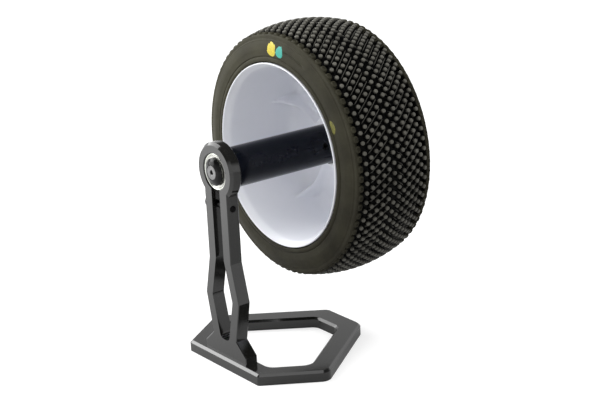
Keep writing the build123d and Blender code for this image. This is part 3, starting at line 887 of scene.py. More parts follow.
@dataclass
class Stand:
    """The base plate, the slotted upright and their screws."""

    plate_edge: float = 0.18
    upright_edge: float = 0.14
    screw_edge: float = 0.10
    plate_edge_pieces: int = 3
    clamp_height: float = 74.0
    leg_half_width: float = 8.1
    clamp_head_diameter: float = 5.7
    clamp_head_height: float = 1.65
    clamp_shank_diameter: float = 3.0
    clamp_end_proud: float = 0.4
    clamp_key_width: float = 2.0
    clamp_key_depth: float = 0.9
    clamp_key_cone: float = 0.3
    clamp_turns: int = 48
    thread_pitch: float = 0.5
    thread_depth: float = 0.22
    thread_inside: float = 1.0
    thread_lead_in: float = 0.25
    thread_steps: int = 24

    def build(self) -> None:
        """Dress the plates and the foot screws, and build the clamp screw."""
        for node, edge in (("base_plate", self.plate_edge), ("upright", self.upright_edge)):
            ease_edges(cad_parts[node], edge, self.plate_edge_pieces)
            PLATE_FINISH.dress(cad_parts[node])
            logger.info("dressed %s", node)
        ease_edges(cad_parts["foot_screws"], self.screw_edge)
        SCREW_FINISH.dress(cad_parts["foot_screws"])
        screw = self.clamp_screw()
        settle(screw, Body.STAND, Slot.BLACK_SCREW_STEEL, SCREW_FINISH, "clamp_screw")
        logger.info("built %s", screw.name)

    def clamp_outline(self, angle: float) -> Outline:
        """Outline of the clamp screw, as distance from its axis and along it.

        Args:
            angle: Direction round the screw, in degrees.

        Returns:
            Points from the socket's floor to the thread's end.
        """
        head_x = -(self.leg_half_width + self.clamp_head_height)
        end_x = self.leg_half_width + self.clamp_end_proud
        thread_x = self.leg_half_width - self.thread_inside
        key = hexagon_radius(angle, self.clamp_key_width, CORNER_UP)
        head_radius = self.clamp_head_diameter / 2
        shank = self.clamp_shank_diameter / 2
        outline = rounded(
            [
                (0.0, head_x + self.clamp_key_depth + self.clamp_key_cone, 0.0),
                (key * 0.96, head_x + self.clamp_key_depth, 0.05),
                (key, head_x + 0.1, 0.05),
                (key + 0.12, head_x, 0.05),
                (head_radius * 0.55, head_x, 0.6),
                (head_radius * 0.92, head_x + 0.55, 0.9),
                (head_radius, head_x + 1.15, 0.3),
                (head_radius, -self.leg_half_width, 0.06),
                (shank, -self.leg_half_width, 0.1),
                (shank, thread_x, 0.0),
            ],
            closed=False,
        )
        for step in range(1, self.thread_steps + 1):
            along = thread_x + (end_x - thread_x) * step / self.thread_steps
            phase = (along / self.thread_pitch - angle / FULL_TURN) % 1.0
            groove = self.thread_depth * (1 - abs(2 * phase - 1))
            lead_in = max(0.0, along - (end_x - self.thread_lead_in))
            outline.append((shank - max(groove, lead_in), along))
        outline.append((0.0, end_x))
        return outline

    def clamp_screw(self) -> bpy.types.Object:
        """Build the button-head screw across the upright's slot.

        Returns:
            The screw, lying along X.
        """
        points: list[Vector] = []
        for angle in even_angles(self.clamp_turns):
            turn = math.radians(angle)
            for radius, along in self.clamp_outline(angle):
                point = (along, radius * math.cos(turn), self.clamp_height + radius * math.sin(turn))
                points.append(Vector(point) * MILLIMETRE)
        faces = swept_faces(self.clamp_turns, len(points) // self.clamp_turns, closed=False)
        screw = make_piece("clamp_button_screw", points, faces)
        weigh_normals(screw)
        return screw


@dataclass
class BallBearing:
    """The clamped ball bearing: rings, shields, cage and balls."""

    width: float = 5.0
    outer_radius: float = 8.0
    bore_radius: float = 4.0
    pitch_radius: float = 6.0
    groove_radius: float = 1.05
    outer_shoulder: float = 6.7
    inner_shoulder: float = 5.3
    shield_seat: float = 7.1
    shield_recess: float = 0.2
    shield_thickness: float = 0.25
    shield_inner: float = 5.5
    shield_step: float = 0.10
    seat_slope: float = 0.06
    rim_width: float = 0.6
    race_rounding: float = 0.4
    cage_edge: float = 0.05
    outer_turns: int = 144
    inner_turns: int = 120
    groove_steps: int = 12

    def build(self) -> None:
        """Build the rings and shields, and dress the cage and balls."""
        outer = turned_piece("bearing_outer_race", self.outer_outline, even_angles(self.outer_turns))
        settle(outer, Body.STAND, Slot.BEARING_STEEL, BEARING_FINISH, "bearing_outer_ring")
        angles = even_angles(self.inner_turns)
        inner = turned_piece("bearing_inner_race", self.inner_outline, angles)
        settle(inner, Body.ROTOR, Slot.BEARING_STEEL, BEARING_FINISH, "bearing_inner_ring")
        front = turned_piece("bearing_front_shield", lambda angle: self.shield_outline(-1), angles)
        settle(front, Body.STAND, Slot.SHIELD_STEEL, SHIELD_FINISH, "bearing_shields")
        back = turned_piece("bearing_back_shield", lambda angle: self.shield_outline(1), angles)
        settle(back, Body.STAND, Slot.SHIELD_STEEL, SHIELD_FINISH, "bearing_shields")
        SHIELD_FINISH.dress(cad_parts["bearing_cage"])
        ease_edges(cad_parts["bearing_cage"], self.cage_edge)
        BEARING_FINISH.dress(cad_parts["bearing_balls"])
        logger.info("built the ball bearing")

    def groove(self, sign: int) -> Outline:
        """Arc of a ball groove, from front to back.

        Args:
            sign: 1 for the outer race, -1 for the inner race.

        Returns:
            Points of the arc.
        """
        shoulder = self.outer_shoulder if sign > 0 else self.inner_shoulder
        rise = abs(shoulder - self.pitch_radius)
        half = math.acos(rise / self.groove_radius)
        points: Outline = []
        for step in range(self.groove_steps + 1):
            turn = half * (2 * step / self.groove_steps - 1)
            radius = self.pitch_radius + sign * self.groove_radius * math.cos(turn)
            points.append((radius, self.groove_radius * math.sin(turn)))
        return points

    def outer_outline(self, angle: float) -> Outline:
        """Outline of the outer race.

        Args:
            angle: Direction round the axle; the race is the same all round.

        Returns:
            The closed outline, from the rim's middle to the front and through the groove.
        """
        half = self.width / 2
        seat = half - self.shield_recess - self.shield_thickness
        slope_end = self.shield_seat + self.seat_slope
        rim_end = self.outer_radius - self.rim_width
        rim = rounded(
            [
                (self.outer_radius, 0.0, 0.0),
                (self.outer_radius, -half, self.race_rounding),
                (rim_end, -half, 0.0),
            ],
            closed=False,
        )
        front_seat = rounded(
            [
                (slope_end, -half, 0.0),
                (self.shield_seat, -seat, 0.03),
                (self.outer_shoulder, -seat, 0.0),
            ],
            closed=False,
        )
        back_seat = rounded(
            [
                (self.outer_shoulder, seat, 0.06),
                (self.shield_seat, seat, 0.03),
                (slope_end, half, 0.08),
                (rim_end, half, 0.0),
            ],
            closed=False,
        )
        back_rim = [(radius, -station) for radius, station in reversed(rim)]
        return rim + front_seat[1:] + self.groove(1) + back_seat + back_rim[:-1]

    def inner_outline(self, angle: float) -> Outline:
        """Outline of the inner race.

        Args:
            angle: Direction round the axle; the race is the same all round.

        Returns:
            The closed outline.
        """
        half = self.width / 2
        front = rounded(
            [
                (self.inner_shoulder, -half, 0.15),
                (self.bore_radius, -half, 0.2),
                (self.bore_radius, half, 0.2),
                (self.inner_shoulder, half, 0.15),
                (self.inner_shoulder, half / 2, 0.0),
            ]
        )
        return front + list(reversed(self.groove(-1)))

    def shield_outline(self, side: int) -> Outline:
        """Outline of a pressed shield with a step and a rolled rim.

        Args:
            side: -1 for the front, 1 for the back.

        Returns:
            The closed outline.
        """
        outer = side * (self.width / 2 - self.shield_recess)
        inner = outer - side * self.shield_thickness
        step = side * self.shield_step
        return rounded(
            [
                (self.shield_seat - 0.02, outer, 0.10),
                (self.shield_seat - 0.35, outer, 0.05),
                (self.shield_seat - 0.45, outer - step, 0.05),
                (self.shield_inner, outer - step, 0.05),
                (self.shield_inner, inner, 0.03),
                (self.shield_seat - 0.02, inner, 0.03),
            ]
        )


@dataclass
class Spindle:
    """The spindle tube, its end washer and screws, and the hexagon with its stud."""

    washer_underside: float = -2.8
    washer_edge: float = -3.2
    washer_top: float = -4.4
    washer_boss_end: float = -2.5
    washer_radius: float = 6.0
    washer_boss_radius: float = 5.0
    washer_top_radius: float = 3.5
    washer_hole_radius: float = 1.6
    washer_countersink: float = 1.55
    # Radius, station and rounding of the dome's corner.
    washer_dome: Corner = (4.75, -4.016, 2.2)
    washer_turns: int = 144
    end_screw_head_radius: float = 3.15
    end_screw_shank_radius: float = 1.5
    end_screw_tip: float = 5.6
    end_screw_key: float = 2.0
    end_screw_key_depth: float = 1.2
    end_screw_key_cone: float = 0.3
    end_screw_face_sink: float = 0.03
    end_screw_rim: Point = (2.55, 2.75)
    end_screw_turns: int = 72
    tube_edge: float = 0.10
    grub_screw_edge: float = 0.05
    hex_front: float = 57.9
    hex_back: float = 63.9
    hex_width: float = 17.0
    hex_corner_cut: float = 0.12
    hex_turns: int = 180
    stud_back: float = 76.5
    stud_radius: float = 6.0
    thread_pitch: float = 1.0
    thread_depth: float = 0.5
    thread_flatness: float = 1.25
    thread_neck: float = 1.0
    thread_run_in: float = 1.0
    thread_lead_in: float = 0.7
    thread_steps: int = 92
    plug_front: float = 47.9
    plug_radius: float = 5.95

    def build(self) -> None:
        """Build and dress all that turns in the bearing but the wheel."""
        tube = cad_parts["spindle_tube"]
        ease_edges(tube, self.tube_edge)
        TURNED_FINISH.dress(tube)
        ease_edges(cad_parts["grub_screws"], self.grub_screw_edge)
        SCREW_FINISH.dress(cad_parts["grub_screws"])
        washer = turned_piece("domed_end_washer", self.washer_outline, even_angles(self.washer_turns))
        settle(washer, Body.ROTOR, Slot.GLOSS_ANODISED, WASHER_FINISH, "end_washer")
        angles = even_angles(self.end_screw_turns)
        screw = turned_piece("socket_end_screw", self.end_screw_outline, angles, closed=False)
        settle(screw, Body.ROTOR, Slot.BLACK_SCREW_STEEL, FACED_SCREW_FINISH, "end_screw")
        angles = even_angles(self.hex_turns)
        hexagon = turned_piece("hexagon_and_stud", self.hexagon_outline, angles, closed=False)
        settle(hexagon, Body.ROTOR, Slot.BLACK_ANODISED, TURNED_FINISH, "hex_adaptor")
        logger.info("built the spindle")

    def washer_outline(self, angle: float) -> Outline:
        """Outline of the domed washer with its boss and countersink.

        Args:
            angle: Direction round the axle; the washer is the same all round.

        Returns:
            The closed outline.
        """
        return rounded(
            [
                (self.washer_top_radius, self.washer_top, 0.25),
                (self.end_screw_head_radius, self.washer_top, 0.05),
                (self.washer_hole_radius, self.washer_top + self.washer_countersink, 0.0),
                (self.washer_hole_radius, self.washer_boss_end, 0.05),
                (self.washer_boss_radius, self.washer_boss_end, 0.05),
                (self.washer_boss_radius, self.washer_underside, 0.05),
                (self.washer_radius, self.washer_underside, 0.12),
                (self.washer_radius, self.washer_edge, 0.35),
                self.washer_dome,
            ],
            steps=6,
        )

    def end_screw_outline(self, angle: float) -> Outline:
        """Outline of the countersunk socket screw.

        Args:
            angle: Direction round the axle, in degrees.

        Returns:
            Points from the socket's floor to the tip.
        """
        key = hexagon_radius(angle, self.end_screw_key, 0.0)
        top = self.washer_top
        face = top + self.end_screw_face_sink
        rim_inside, rim_outside = self.end_screw_rim
        cone = self.end_screw_head_radius - self.end_screw_shank_radius
        return rounded(
            [
                (0.0, top + self.end_screw_key_depth + self.end_screw_key_cone, 0.0),
                (key * 0.95, top + self.end_screw_key_depth, 0.05),
                (key, top + 0.14, 0.05),
                (key + 0.14, face, 0.04),
                (rim_inside, face, 0.05),
                (rim_outside, top, 0.05),
                (self.end_screw_head_radius - 0.03, top, 0.06),
                (self.end_screw_shank_radius, top + cone, 0.2),
                (self.end_screw_shank_radius - 0.05, self.end_screw_tip - 0.3, 0.05),
                (self.end_screw_shank_radius - 0.4, self.end_screw_tip, 0.05),
                (0.0, self.end_screw_tip, 0.0),
            ],
            closed=False,
        )

    def hexagon_outline(self, angle: float) -> Outline:
        """Outline of the plug, the hexagon and the threaded stud.

        Args:
            angle: Direction round the axle, in degrees.

        Returns:
            Points from the plug's front to the stud's end.
        """
        flat = hexagon_radius(angle, self.hex_width, CORNER_UP, self.hex_corner_cut)
        start = self.hex_back + self.thread_neck
        outline = rounded(
            [
                (0.0, self.plug_front, 0.0),
                (self.plug_radius, self.plug_front, 0.4),
                (self.plug_radius, self.hex_front, 0.0),
                (flat, self.hex_front, 0.3),
                (flat, self.hex_back, 0.35),
                (self.stud_radius, self.hex_back, 0.1),
                (self.stud_radius, start, 0.0),
            ],
            closed=False,
        )
        for step in range(1, self.thread_steps + 1):
            station = start + (self.stud_back - start) * step / self.thread_steps
            phase = (station / self.thread_pitch - angle / FULL_TURN) % 1.0
            groove = self.thread_depth * min(1.0, self.thread_flatness * (1 - abs(2 * phase - 1)))
            run_in = min(1.0, (station - start) / self.thread_run_in)
            lead_in = max(0.0, station - (self.stud_back - self.thread_lead_in))
            outline.append((self.stud_radius - max(groove * run_in, lead_in), station))
        outline.append((0.0, self.stud_back))
        return outline


@dataclass
class Wheel:
    """The deep white wheel with five soft ribs on its dish."""

    front: float = 29.6
    back: float = 73.8
    lip_radius: float = 40.84
    lip_thickness: float = 1.2
    lip_face: float = 0.54
    lip_edge: float = 0.26
    mouth_radius: float = 39.7
    mouth_depth: float = 3.2
    mouth_softness: float = 5.0
    mouth_run_out: float = 2.0
    back_mouth_depth: float = 1.9
    bore_radius: float = 38.4
    seat_radius: float = 39.9
    ridge_radius: float = 41.0
    ridge_start: float = 4.6
    ridge_width: float = 1.2
    hub_radius: float = 12.0
    hub_front: float = 59.4
    hub_seat: float = 63.9
    hub_back: float = 67.4
    dish_at_hub: float = 65.2
    dish_at_rim: float = 68.6
    dish_back_at_rim: float = 70.8
    pocket_width: float = 17.1
    stud_hole_radius: float = 6.05
    rib_count: int = 5
    rib_first_angle: float = 160.0
    rib_half_width: float = 1.6
    rib_sharpness: float = 4.0
    rib_height: float = 12.4
    rib_bead: float = 0.5
    rib_bead_half_width: float = 0.6
    # Share of the way from hub to barrel, and share of the rib's height there.
    rib_crest: tuple[Point, ...] = ((0.0, 0.26), (0.38, 0.25), (0.72, 0.32), (1.0, 0.90))
    corner_softness: float = 8.0
    rib_corner_softness: float = 3.0
    rib_corner_spread: float = 2.5
    hub_softness: float = 2.0
    barrel_steps: int = 14
    corner_steps: int = 14
    dish_steps: int = 50
    hub_steps: int = 6
    plain_angle_step: int = 2
    rib_zone: int = 10
    rib_angles_per_degree: int = 3
    least_angle_step: float = 0.05

    def build(self) -> None:
        """Build the wheel in one piece."""
        wheel = turned_piece("deep_dish_wheel", self.outline_at, self.angles())
        settle(wheel, Body.WHEEL_AND_TYRE, Slot.WHITE_PLASTIC, NYLON_FINISH, "wheel")
        logger.info("built the wheel with %d vertices", len(wheel.data.vertices))

    def angles(self) -> list[float]:
        """Give the angles for the outline.

        Returns:
            Angles in degrees, close together at the ribs and with the pocket's corners.
        """
        found = {float(angle) for angle in range(0, int(FULL_TURN), self.plain_angle_step)}
        found |= {SIXTH_TURN * (corner + 0.5) for corner in range(6)}
        per_degree = self.rib_angles_per_degree
        reach = self.rib_zone * per_degree
        for rib in range(self.rib_count):
            middle = self.rib_first_angle + FULL_TURN * rib / self.rib_count
            found |= {(middle + step / per_degree) % FULL_TURN for step in range(-reach, reach + 1)}
        ordered = sorted(round(angle, 4) for angle in found)
        steps = zip([-FULL_TURN] + ordered, ordered)
        return [angle for before, angle in steps if angle - before > self.least_angle_step]

    def crest_station(self, radius: float) -> float:
        """Give the station of a rib's crest, on a smooth curve through its points.

        Args:
            radius: Distance from the axle.

        Returns:
            The station.
        """
        reach = self.bore_radius - self.hub_radius
        share = min(max((radius - self.hub_radius) / reach, 0.0), 1.0)
        crest = self.rib_crest
        last = len(crest) - 1
        index = next((step for step in range(last) if share <= crest[step + 1][0]), last - 1)
        (left, left_height), (right, right_height) = crest[index], crest[index + 1]
        before = crest[max(index - 1, 0)]
        after = crest[min(index + 2, last)]
        span = right - left
        left_slope = (right_height - before[1]) / (right - before[0])
        right_slope = (after[1] - left_height) / (after[0] - left)
        t = (share - left) / span
        height = (
            (2 * t**3 - 3 * t**2 + 1) * left_height
            + (t**3 - 2 * t**2 + t) * span * left_slope
            + (3 * t**2 - 2 * t**3) * right_height
            + (t**3 - t**2) * span * right_slope
        )
        return self.dish_station(radius) - self.rib_height * height

    def dish_station(self, radius: float) -> float:
        """Station of the plain dish's front at a radius."""
        share = (radius - self.hub_radius) / (self.bore_radius - self.hub_radius)
        return self.dish_at_hub + (self.dish_at_rim - self.dish_at_hub) * share

    def rib_distance(self, radius: float, angle: float) -> float:
        """Give the distance of a point on the dish from the nearest rib's middle.

        Args:
            radius: Distance of the point from the axle.
            angle: Its direction round the axle, in degrees.

        Returns:
            The distance.
        """
        pitch = FULL_TURN / self.rib_count
        offset = (angle - self.rib_first_angle + pitch / 2) % pitch - pitch / 2
        return radius * math.sin(math.radians(abs(offset)))

    def rib_share(self, sideways: float) -> float:
        """Share of a rib's height at a distance from its middle."""
        return 1 / (1 + (sideways / self.rib_half_width) ** self.rib_sharpness)

    def front_station(self, radius: float, angle: float) -> float:
        """Give the station of the dish's front with the ribs on it.

        Args:
            radius: Distance from the axle.
            angle: Direction round the axle, in degrees.

        Returns:
            The station.
        """
        sideways = self.rib_distance(radius, angle)
        weight = self.rib_share(sideways)
        bead = self.rib_bead * math.exp(-((sideways / self.rib_bead_half_width) ** 2))
        plain = self.dish_station(radius)
        return plain + (self.crest_station(radius) - plain) * weight - bead

    def corner_reach(self, angle: float) -> float:
        """Reach of the soft corner between barrel and dish, which is short at the ribs."""
        on_rib = self.rib_share(self.rib_distance(self.bore_radius, angle) / self.rib_corner_spread)
        return self.corner_softness + (self.rib_corner_softness - self.corner_softness) * on_rib

    def outline_at(self, angle: float) -> Outline:
        """Whole closed outline of the wheel.

        Args:
            angle: Direction round the axle, in degrees.

        Returns:
            The outline from the mouth inwards and round the back.
        """
        return self.barrel_outline(angle) + self.dish_outline(angle) + self.back_outline(angle)

    def barrel_outline(self, angle: float) -> Outline:
        """Outline of the lip, the mouth, the barrel and its soft corner.

        Args:
            angle: Direction round the axle, in degrees.

        Returns:
            Points from the lip to the dish.
        """
        bore = self.bore_radius
        mouth_end = self.front + self.mouth_depth
        barrel_start = mouth_end + self.mouth_run_out
        outline = rounded(
            [
                (self.lip_radius, self.front + self.lip_thickness / 2, 0.0),
                (self.lip_radius, self.front, self.lip_edge),
                (self.lip_radius - self.lip_face, self.front, self.lip_edge),
                (bore, mouth_end, self.mouth_softness),
                (bore, barrel_start, 0.0),
            ],
            closed=False,
        )
        reach = self.corner_reach(angle)
        corner = (bore, self.front_station(bore, angle))
        barrel_end = (bore, corner[1] - reach)
        length = barrel_end[1] - barrel_start
        for step in range(1, self.barrel_steps + 1):
            outline.append((bore, barrel_start + length * step / self.barrel_steps))
        dish_start = (bore - reach, self.front_station(bore - reach, angle))
        for step in range(1, self.corner_steps):
            outline.append(bend(barrel_end, corner, dish_start, step / self.corner_steps))
        return outline

    def dish_outline(self, angle: float) -> Outline:
        """Outline of the dish and the soft corner at its hub.

        Args:
            angle: Direction round the axle, in degrees.

        Returns:
            Points from the barrel's corner to the hub.
        """
        start = self.bore_radius - self.corner_reach(angle)
        end = self.hub_radius + self.hub_softness
        radii = [start + (end - start) * step / self.dish_steps for step in range(self.dish_steps + 1)]
        outline = [(radius, self.front_station(radius, angle)) for radius in radii]
        dish_end = outline[-1]
        corner = (self.hub_radius, self.front_station(self.hub_radius, angle))
        hub_start = (self.hub_radius, corner[1] - self.hub_softness)
        for step in range(1, self.hub_steps + 1):
            outline.append(bend(dish_end, corner, hub_start, step / self.hub_steps))
        return outline

    def back_outline(self, angle: float) -> Outline:
        """Outline of the hub's pocket, the dish's back and the tyre's seats.

        Args:
            angle: Direction round the axle, in degrees.

        Returns:
            Points from the hub round the back to the lip.
        """
        pocket = hexagon_radius(angle, self.pocket_width, CORNER_UP)
        ridge_start = self.front + self.ridge_start
        ridge_end = ridge_start + self.ridge_width
        mirror = self.front + self.back
        seat = self.seat_radius
        return rounded(
            [
                (self.hub_radius, self.hub_front + 1.5, 0.0),
                (self.hub_radius, self.hub_front, 0.7),
                (pocket + 0.3, self.hub_front, 0.1),
                (pocket, self.hub_front + 0.3, 0.1),
                (pocket, self.hub_seat, 0.1),
                (self.stud_hole_radius, self.hub_seat, 0.1),
                (self.stud_hole_radius, self.hub_back, 0.3),
                (self.hub_radius, self.hub_back, 0.3),
                (self.bore_radius, self.dish_back_at_rim, 1.5),
                (self.bore_radius, self.back - self.back_mouth_depth, 0.5),
                (self.mouth_radius, self.back, 0.3),
                (self.lip_radius, self.back, 0.35),
                (self.lip_radius, self.back - self.lip_thickness, 0.15),
                (seat, self.back - self.lip_thickness, 0.1),
                (seat, mirror - ridge_start, 0.1),
                (self.ridge_radius, mirror - ridge_start, 0.3),
                (self.ridge_radius, mirror - ridge_end, 0.3),
                (seat, mirror - ridge_end, 0.1),
                (seat, ridge_end, 0.1),
                (self.ridge_radius, ridge_end, 0.3),
                (self.ridge_radius, ridge_start, 0.3),
                (seat, ridge_start, 0.1),
                (seat, self.front + self.lip_thickness, 0.1),
                (self.lip_radius, self.front + self.lip_thickness, 0.0),
            ],
            steps=3,
            closed=False,
        )


@dataclass(frozen=True)
class PaintMark:
    """A spot of marking paint: its place on the sidewall and its half widths."""

    name: str
    radius: float
    angle: float
    half_out: float
    half_round: float
    finish: PaintFinish


PAINT_MARKS = (
    PaintMark("yellow_dot", 47.1, 90.6, 3.2, 3.1, YELLOW_PAINT),
    PaintMark("teal_dot", 46.8, 83.8, 2.6, 2.5, TEAL_PAINT),
    PaintMark("faded_mark", 44.5, 27.0, 1.5, 2.9, FADED_PAINT),
)


@dataclass
class Tyre:
    """The tyre: carcass, pin tread with low ribs, paint marks and foam insert."""

    middle: float = TYRE_MIDDLE
    bead_radius: float = 39.9
    bead_front: float = 30.8
    bead_width: float = 3.4
    bead_top_radius: float = 42.0
    # Radius and station of each point of the bead's ring, and of the rounded shoulder.
    bead_ring: tuple[Point, ...] = (
        (40.95, 31.6),
        (41.22, 31.3),
        (41.28, 30.5),
        (41.4, 30.08),
        (41.7, 29.88),
        (42.2, 29.82),
        (42.8, 29.9),
        (43.2, 30.1),
        (43.35, 30.42),
        (43.55, 30.5),
    )
    shoulder: tuple[Point, ...] = (
        (51.9, 31.62),
        (52.45, 31.72),
        (52.8, 31.98),
        (52.86, 32.4),
        (52.7, 32.9),
        (52.3, 33.5),
        (51.8, 34.2),
        (51.35, 35.0),
    )
    outer_radius: float = TYRE_RADIUS
    crown_radius: float = CROWN_RADIUS
    crown_half_width: int = 16
    crown_points_per_mm: int = 2
    wall_thickness: float = 2.0
    inside_radius: float = 51.4
    carcass_turns: int = 240
    pin_height: float = 2.6
    # Radius of a pin, and its height over the crown or its depth under the top.
    pin_foot: tuple[Point, ...] = ((1.3, -0.25), (1.05, 0.12), (0.96, 0.6))
    pin_top: tuple[Point, ...] = ((0.91, 0.3), (0.82, 0.08), (0.62, 0.0), (0.3, 0.0))
    pin_sides: int = 14
    tooth_middle: float = 33.5
    tooth_squareness: float = 0.65
    tooth_sides: int = 20
    # Distance from the axle, and half widths round the tyre and along the axle.
    teeth: tuple[Triple, ...] = (
        (51.2, 1.72, 1.50),
        (52.2, 1.60, 1.40),
        (53.0, 1.46, 1.25),
        (53.42, 1.28, 1.06),
        (53.58, 1.06, 0.86),
        (53.48, 0.82, 0.64),
        (53.05, 0.62, 0.46),
        (53.0, 0.30, 0.20),
    )
    row_count: int = 15
    row_spacing: float = 2.66
    pins_in_row: int = 80
    # Radius and station of three points on the sidewall's arc, and the radii that it covers.
    sidewall: tuple[Point, Point, Point] = ((40.94, 30.8), (46.44, 30.2), (51.94, 32.03))
    sidewall_reach: Point = (43.7, 51.2)
    sidewall_pieces: int = 90
    # Radius, height and width of each ring.
    sidewall_rings: tuple[Triple, ...] = ((44.6, 0.10, 0.22), (50.6, 0.10, 0.30))
    # Radius, half width and depth of the short groove, and half its sweep in degrees.
    wall_groove: tuple[float, float, float, float] = (47.3, 0.40, 0.40, 8.5)
    wall_groove_angle: float = 71.5
    rib_height: float = 1.3
    rib_width: float = 0.45
    rib_end_height: float = 0.1
    rib_foot_sink: float = 0.2
    rib_foot_spread: float = 1.3
    rib_crest_spread: float = 0.8
    # First row, last row and slant of each set of low ribs.
    rib_rows: tuple[tuple[float, float, int], ...] = ((1.5, 6.0, 1), (7.0, 8.5, -1), (8.5, 12.5, 1))
    foam_radius: float = 41.4
    foam_edge_radius: float = 49.4
    foam_crown_radius: float = 50.9
    foam_half_width: float = 16.2
    foam_chamfer: float = 0.8
    foam_swell: float = 0.3
    foam_turns: int = 180
    paint_rings: int = 4
    paint_sides: int = 24
    paint_lift: float = 0.03
    paint_edge_sink: float = 0.02
    paint_unevenness: float = 0.05

    def build(self) -> None:
        """Build the tyre's pieces and settle them on the wheel."""
        carcass = turned_piece("tyre_carcass", self.carcass_outline, even_angles(self.carcass_turns))
        settle(carcass, Body.WHEEL_AND_TYRE, Slot.TYRE_RUBBER, SIDEWALL_FINISH, "tyre")
        pins = self.tread()
        settle(pins, Body.WHEEL_AND_TYRE, Slot.TYRE_RUBBER, TREAD_FINISH, "tread_pins")
        teeth = self.shoulder_teeth()
        settle(teeth, Body.WHEEL_AND_TYRE, Slot.TYRE_RUBBER, SIDEWALL_FINISH, "tread_pins")
        ribs = self.low_ribs()
        settle(ribs, Body.WHEEL_AND_TYRE, Slot.TYRE_RUBBER, RIB_FINISH)
        foam = turned_piece("foam_ring", self.foam_outline, even_angles(self.foam_turns))
        settle(foam, Body.WHEEL_AND_TYRE, Slot.FOAM, FOAM_FINISH, "foam_insert")
        for mark in PAINT_MARKS:
            settle(self.painted(mark), Body.WHEEL_AND_TYRE, Slot.TYRE_RUBBER, mark.finish)
        logger.info("built the tyre with %d tread vertices", len(pins.data.vertices))

    def crown_point(self, offset: float, depth: float = 0.0) -> Point:
        """Radius and station on the crown, a depth below the pins' tops.

        Args:
            offset: Distance of the pin's top from the tyre's middle.
            depth: Depth along the crown's normal.

        Returns:
            Radius and station.
        """
        lean = math.asin(max(-1.0, min(1.0, offset / self.crown_radius)))
        reach = self.crown_radius - depth
        centre = self.outer_radius - self.crown_radius
        return (centre + reach * math.cos(lean), self.middle + reach * math.sin(lean))

    def carcass_outline(self, angle: float) -> Outline:
        """Closed outline of the carcass, with a smooth sidewall and crown.

        Args:
            angle: Direction round the axle, in degrees.

        Returns:
            The outline from the front bead outwards and round.
        """
        start, end = self.sidewall_reach
        wall_arc = three_point_arc(*self.sidewall, self.sidewall_pieces)
        wall = [self.moulded(point, angle) for point in wall_arc if start < point[0] < end]
        front_wall = [*self.bead_ring, *wall, *self.shoulder]
        half_steps = self.crown_half_width * self.crown_points_per_mm
        offsets = [step / self.crown_points_per_mm for step in range(-half_steps, half_steps + 1)]
        crown = [self.crown_point(offset, self.pin_height) for offset in offsets]
        bead_end = self.bead_front + self.bead_width
        front_bead = [(self.bead_radius, bead_end), (self.bead_radius, self.bead_front)]
        return [
            *front_wall,
            *crown,
            *self.mirrored(front_wall),
            *self.mirrored(front_bead),
            *self.inside_outline(),
            *front_bead,
        ]

    def inside_outline(self) -> Outline:
        """Outline of the carcass's inside.

        Returns:
            Points from the back bead round to the front bead.
        """
        wall = self.wall_thickness
        front = three_point_arc(
            (self.sidewall[2][0] - wall, self.sidewall[2][1] + wall),
            (self.sidewall[1][0] + wall / 2, self.sidewall[1][1] + wall),
            (self.bead_top_radius, self.bead_front + self.bead_width),
            8,
        )
        back = self.mirrored(front)
        crown = three_point_arc(back[-1], (self.inside_radius, self.middle), front[0], 16)
        return back + crown[1:-1] + front

    def mirrored(self, outline: Outline) -> Outline:
        """Mirror an outline from one side of the tyre to the other, and reverse it."""
        return [(radius, 2 * self.middle - station) for radius, station in reversed(outline)]

    def moulded(self, point: Point, angle: float) -> Point:
        """Raise a sidewall point on a fine moulded ring, and sink it in the short groove.

        Args:
            point: Radius and station on the plain sidewall.
            angle: Direction round the axle, in degrees.

        Returns:
            Radius and station on the moulded sidewall.
        """
        radius, station = point
        for ring, height, width in self.sidewall_rings:
            station -= height * math.exp(-(((radius - ring) / width) ** 2))
        groove, half_width, depth, half_sweep = self.wall_groove
        if abs(angle - self.wall_groove_angle) < half_sweep:
            station += depth * math.exp(-(((radius - groove) / half_width) ** 4))
        return (radius, max(station, self.sidewall[1][1]))

    def foam_outline(self, angle: float) -> Outline:
        """Outline of the foam ring, a little uneven round the tyre.

        Args:
            angle: Direction round the axle, in degrees.

        Returns:
            The closed outline.
        """
        waves = 0.15 * math.sin(math.radians(angle * 7)) + 0.1 * math.sin(math.radians(angle * 13 + 40))
        edge = self.foam_edge_radius + waves * self.foam_swell
        crown = self.foam_crown_radius + waves * self.foam_swell
        front, back = self.middle - self.foam_half_width, self.middle + self.foam_half_width
        return [
            (self.foam_radius, back - self.foam_chamfer),
            (self.foam_radius, front + self.foam_chamfer),
            *three_point_arc((edge, front), (crown, self.middle), (edge, back), 12),
        ]

    def pin_mesh(self, row: int, turn: float, points: list[Vector], faces: list[Face]) -> None:
        """Add one pin to the tread.

        Args:
            row: Row of the pin, from the front.
            turn: Its angle round the axle, in degrees.
            points: The tread's vertices, which grow.
            faces: The tread's faces, which grow.
        """
        offset = self.row_offset(row)
        lean = math.asin(offset / self.crown_radius)
        radius, station = self.crown_point(offset, self.pin_height)
        foot = place(radius, station, turn)
        cosine, sine = math.cos(math.radians(turn)), math.sin(math.radians(turn))
        outwards = Vector((math.cos(lean) * cosine, math.sin(lean), math.cos(lean) * sine))
        around = Vector((-sine, 0.0, cosine))
        across = outwards.cross(around)
        rings = [*self.pin_foot, *((width, self.pin_height - below) for width, below in self.pin_top)]
        faces.extend(stacked_faces(len(points), len(rings), self.pin_sides))
        for ring_radius, height in rings:
            for side in range(self.pin_sides):
                swing = 2 * math.pi * side / self.pin_sides
                sideways = (around * math.cos(swing) + across * math.sin(swing)) * ring_radius
                points.append(foot + (sideways + outwards * height) * MILLIMETRE)

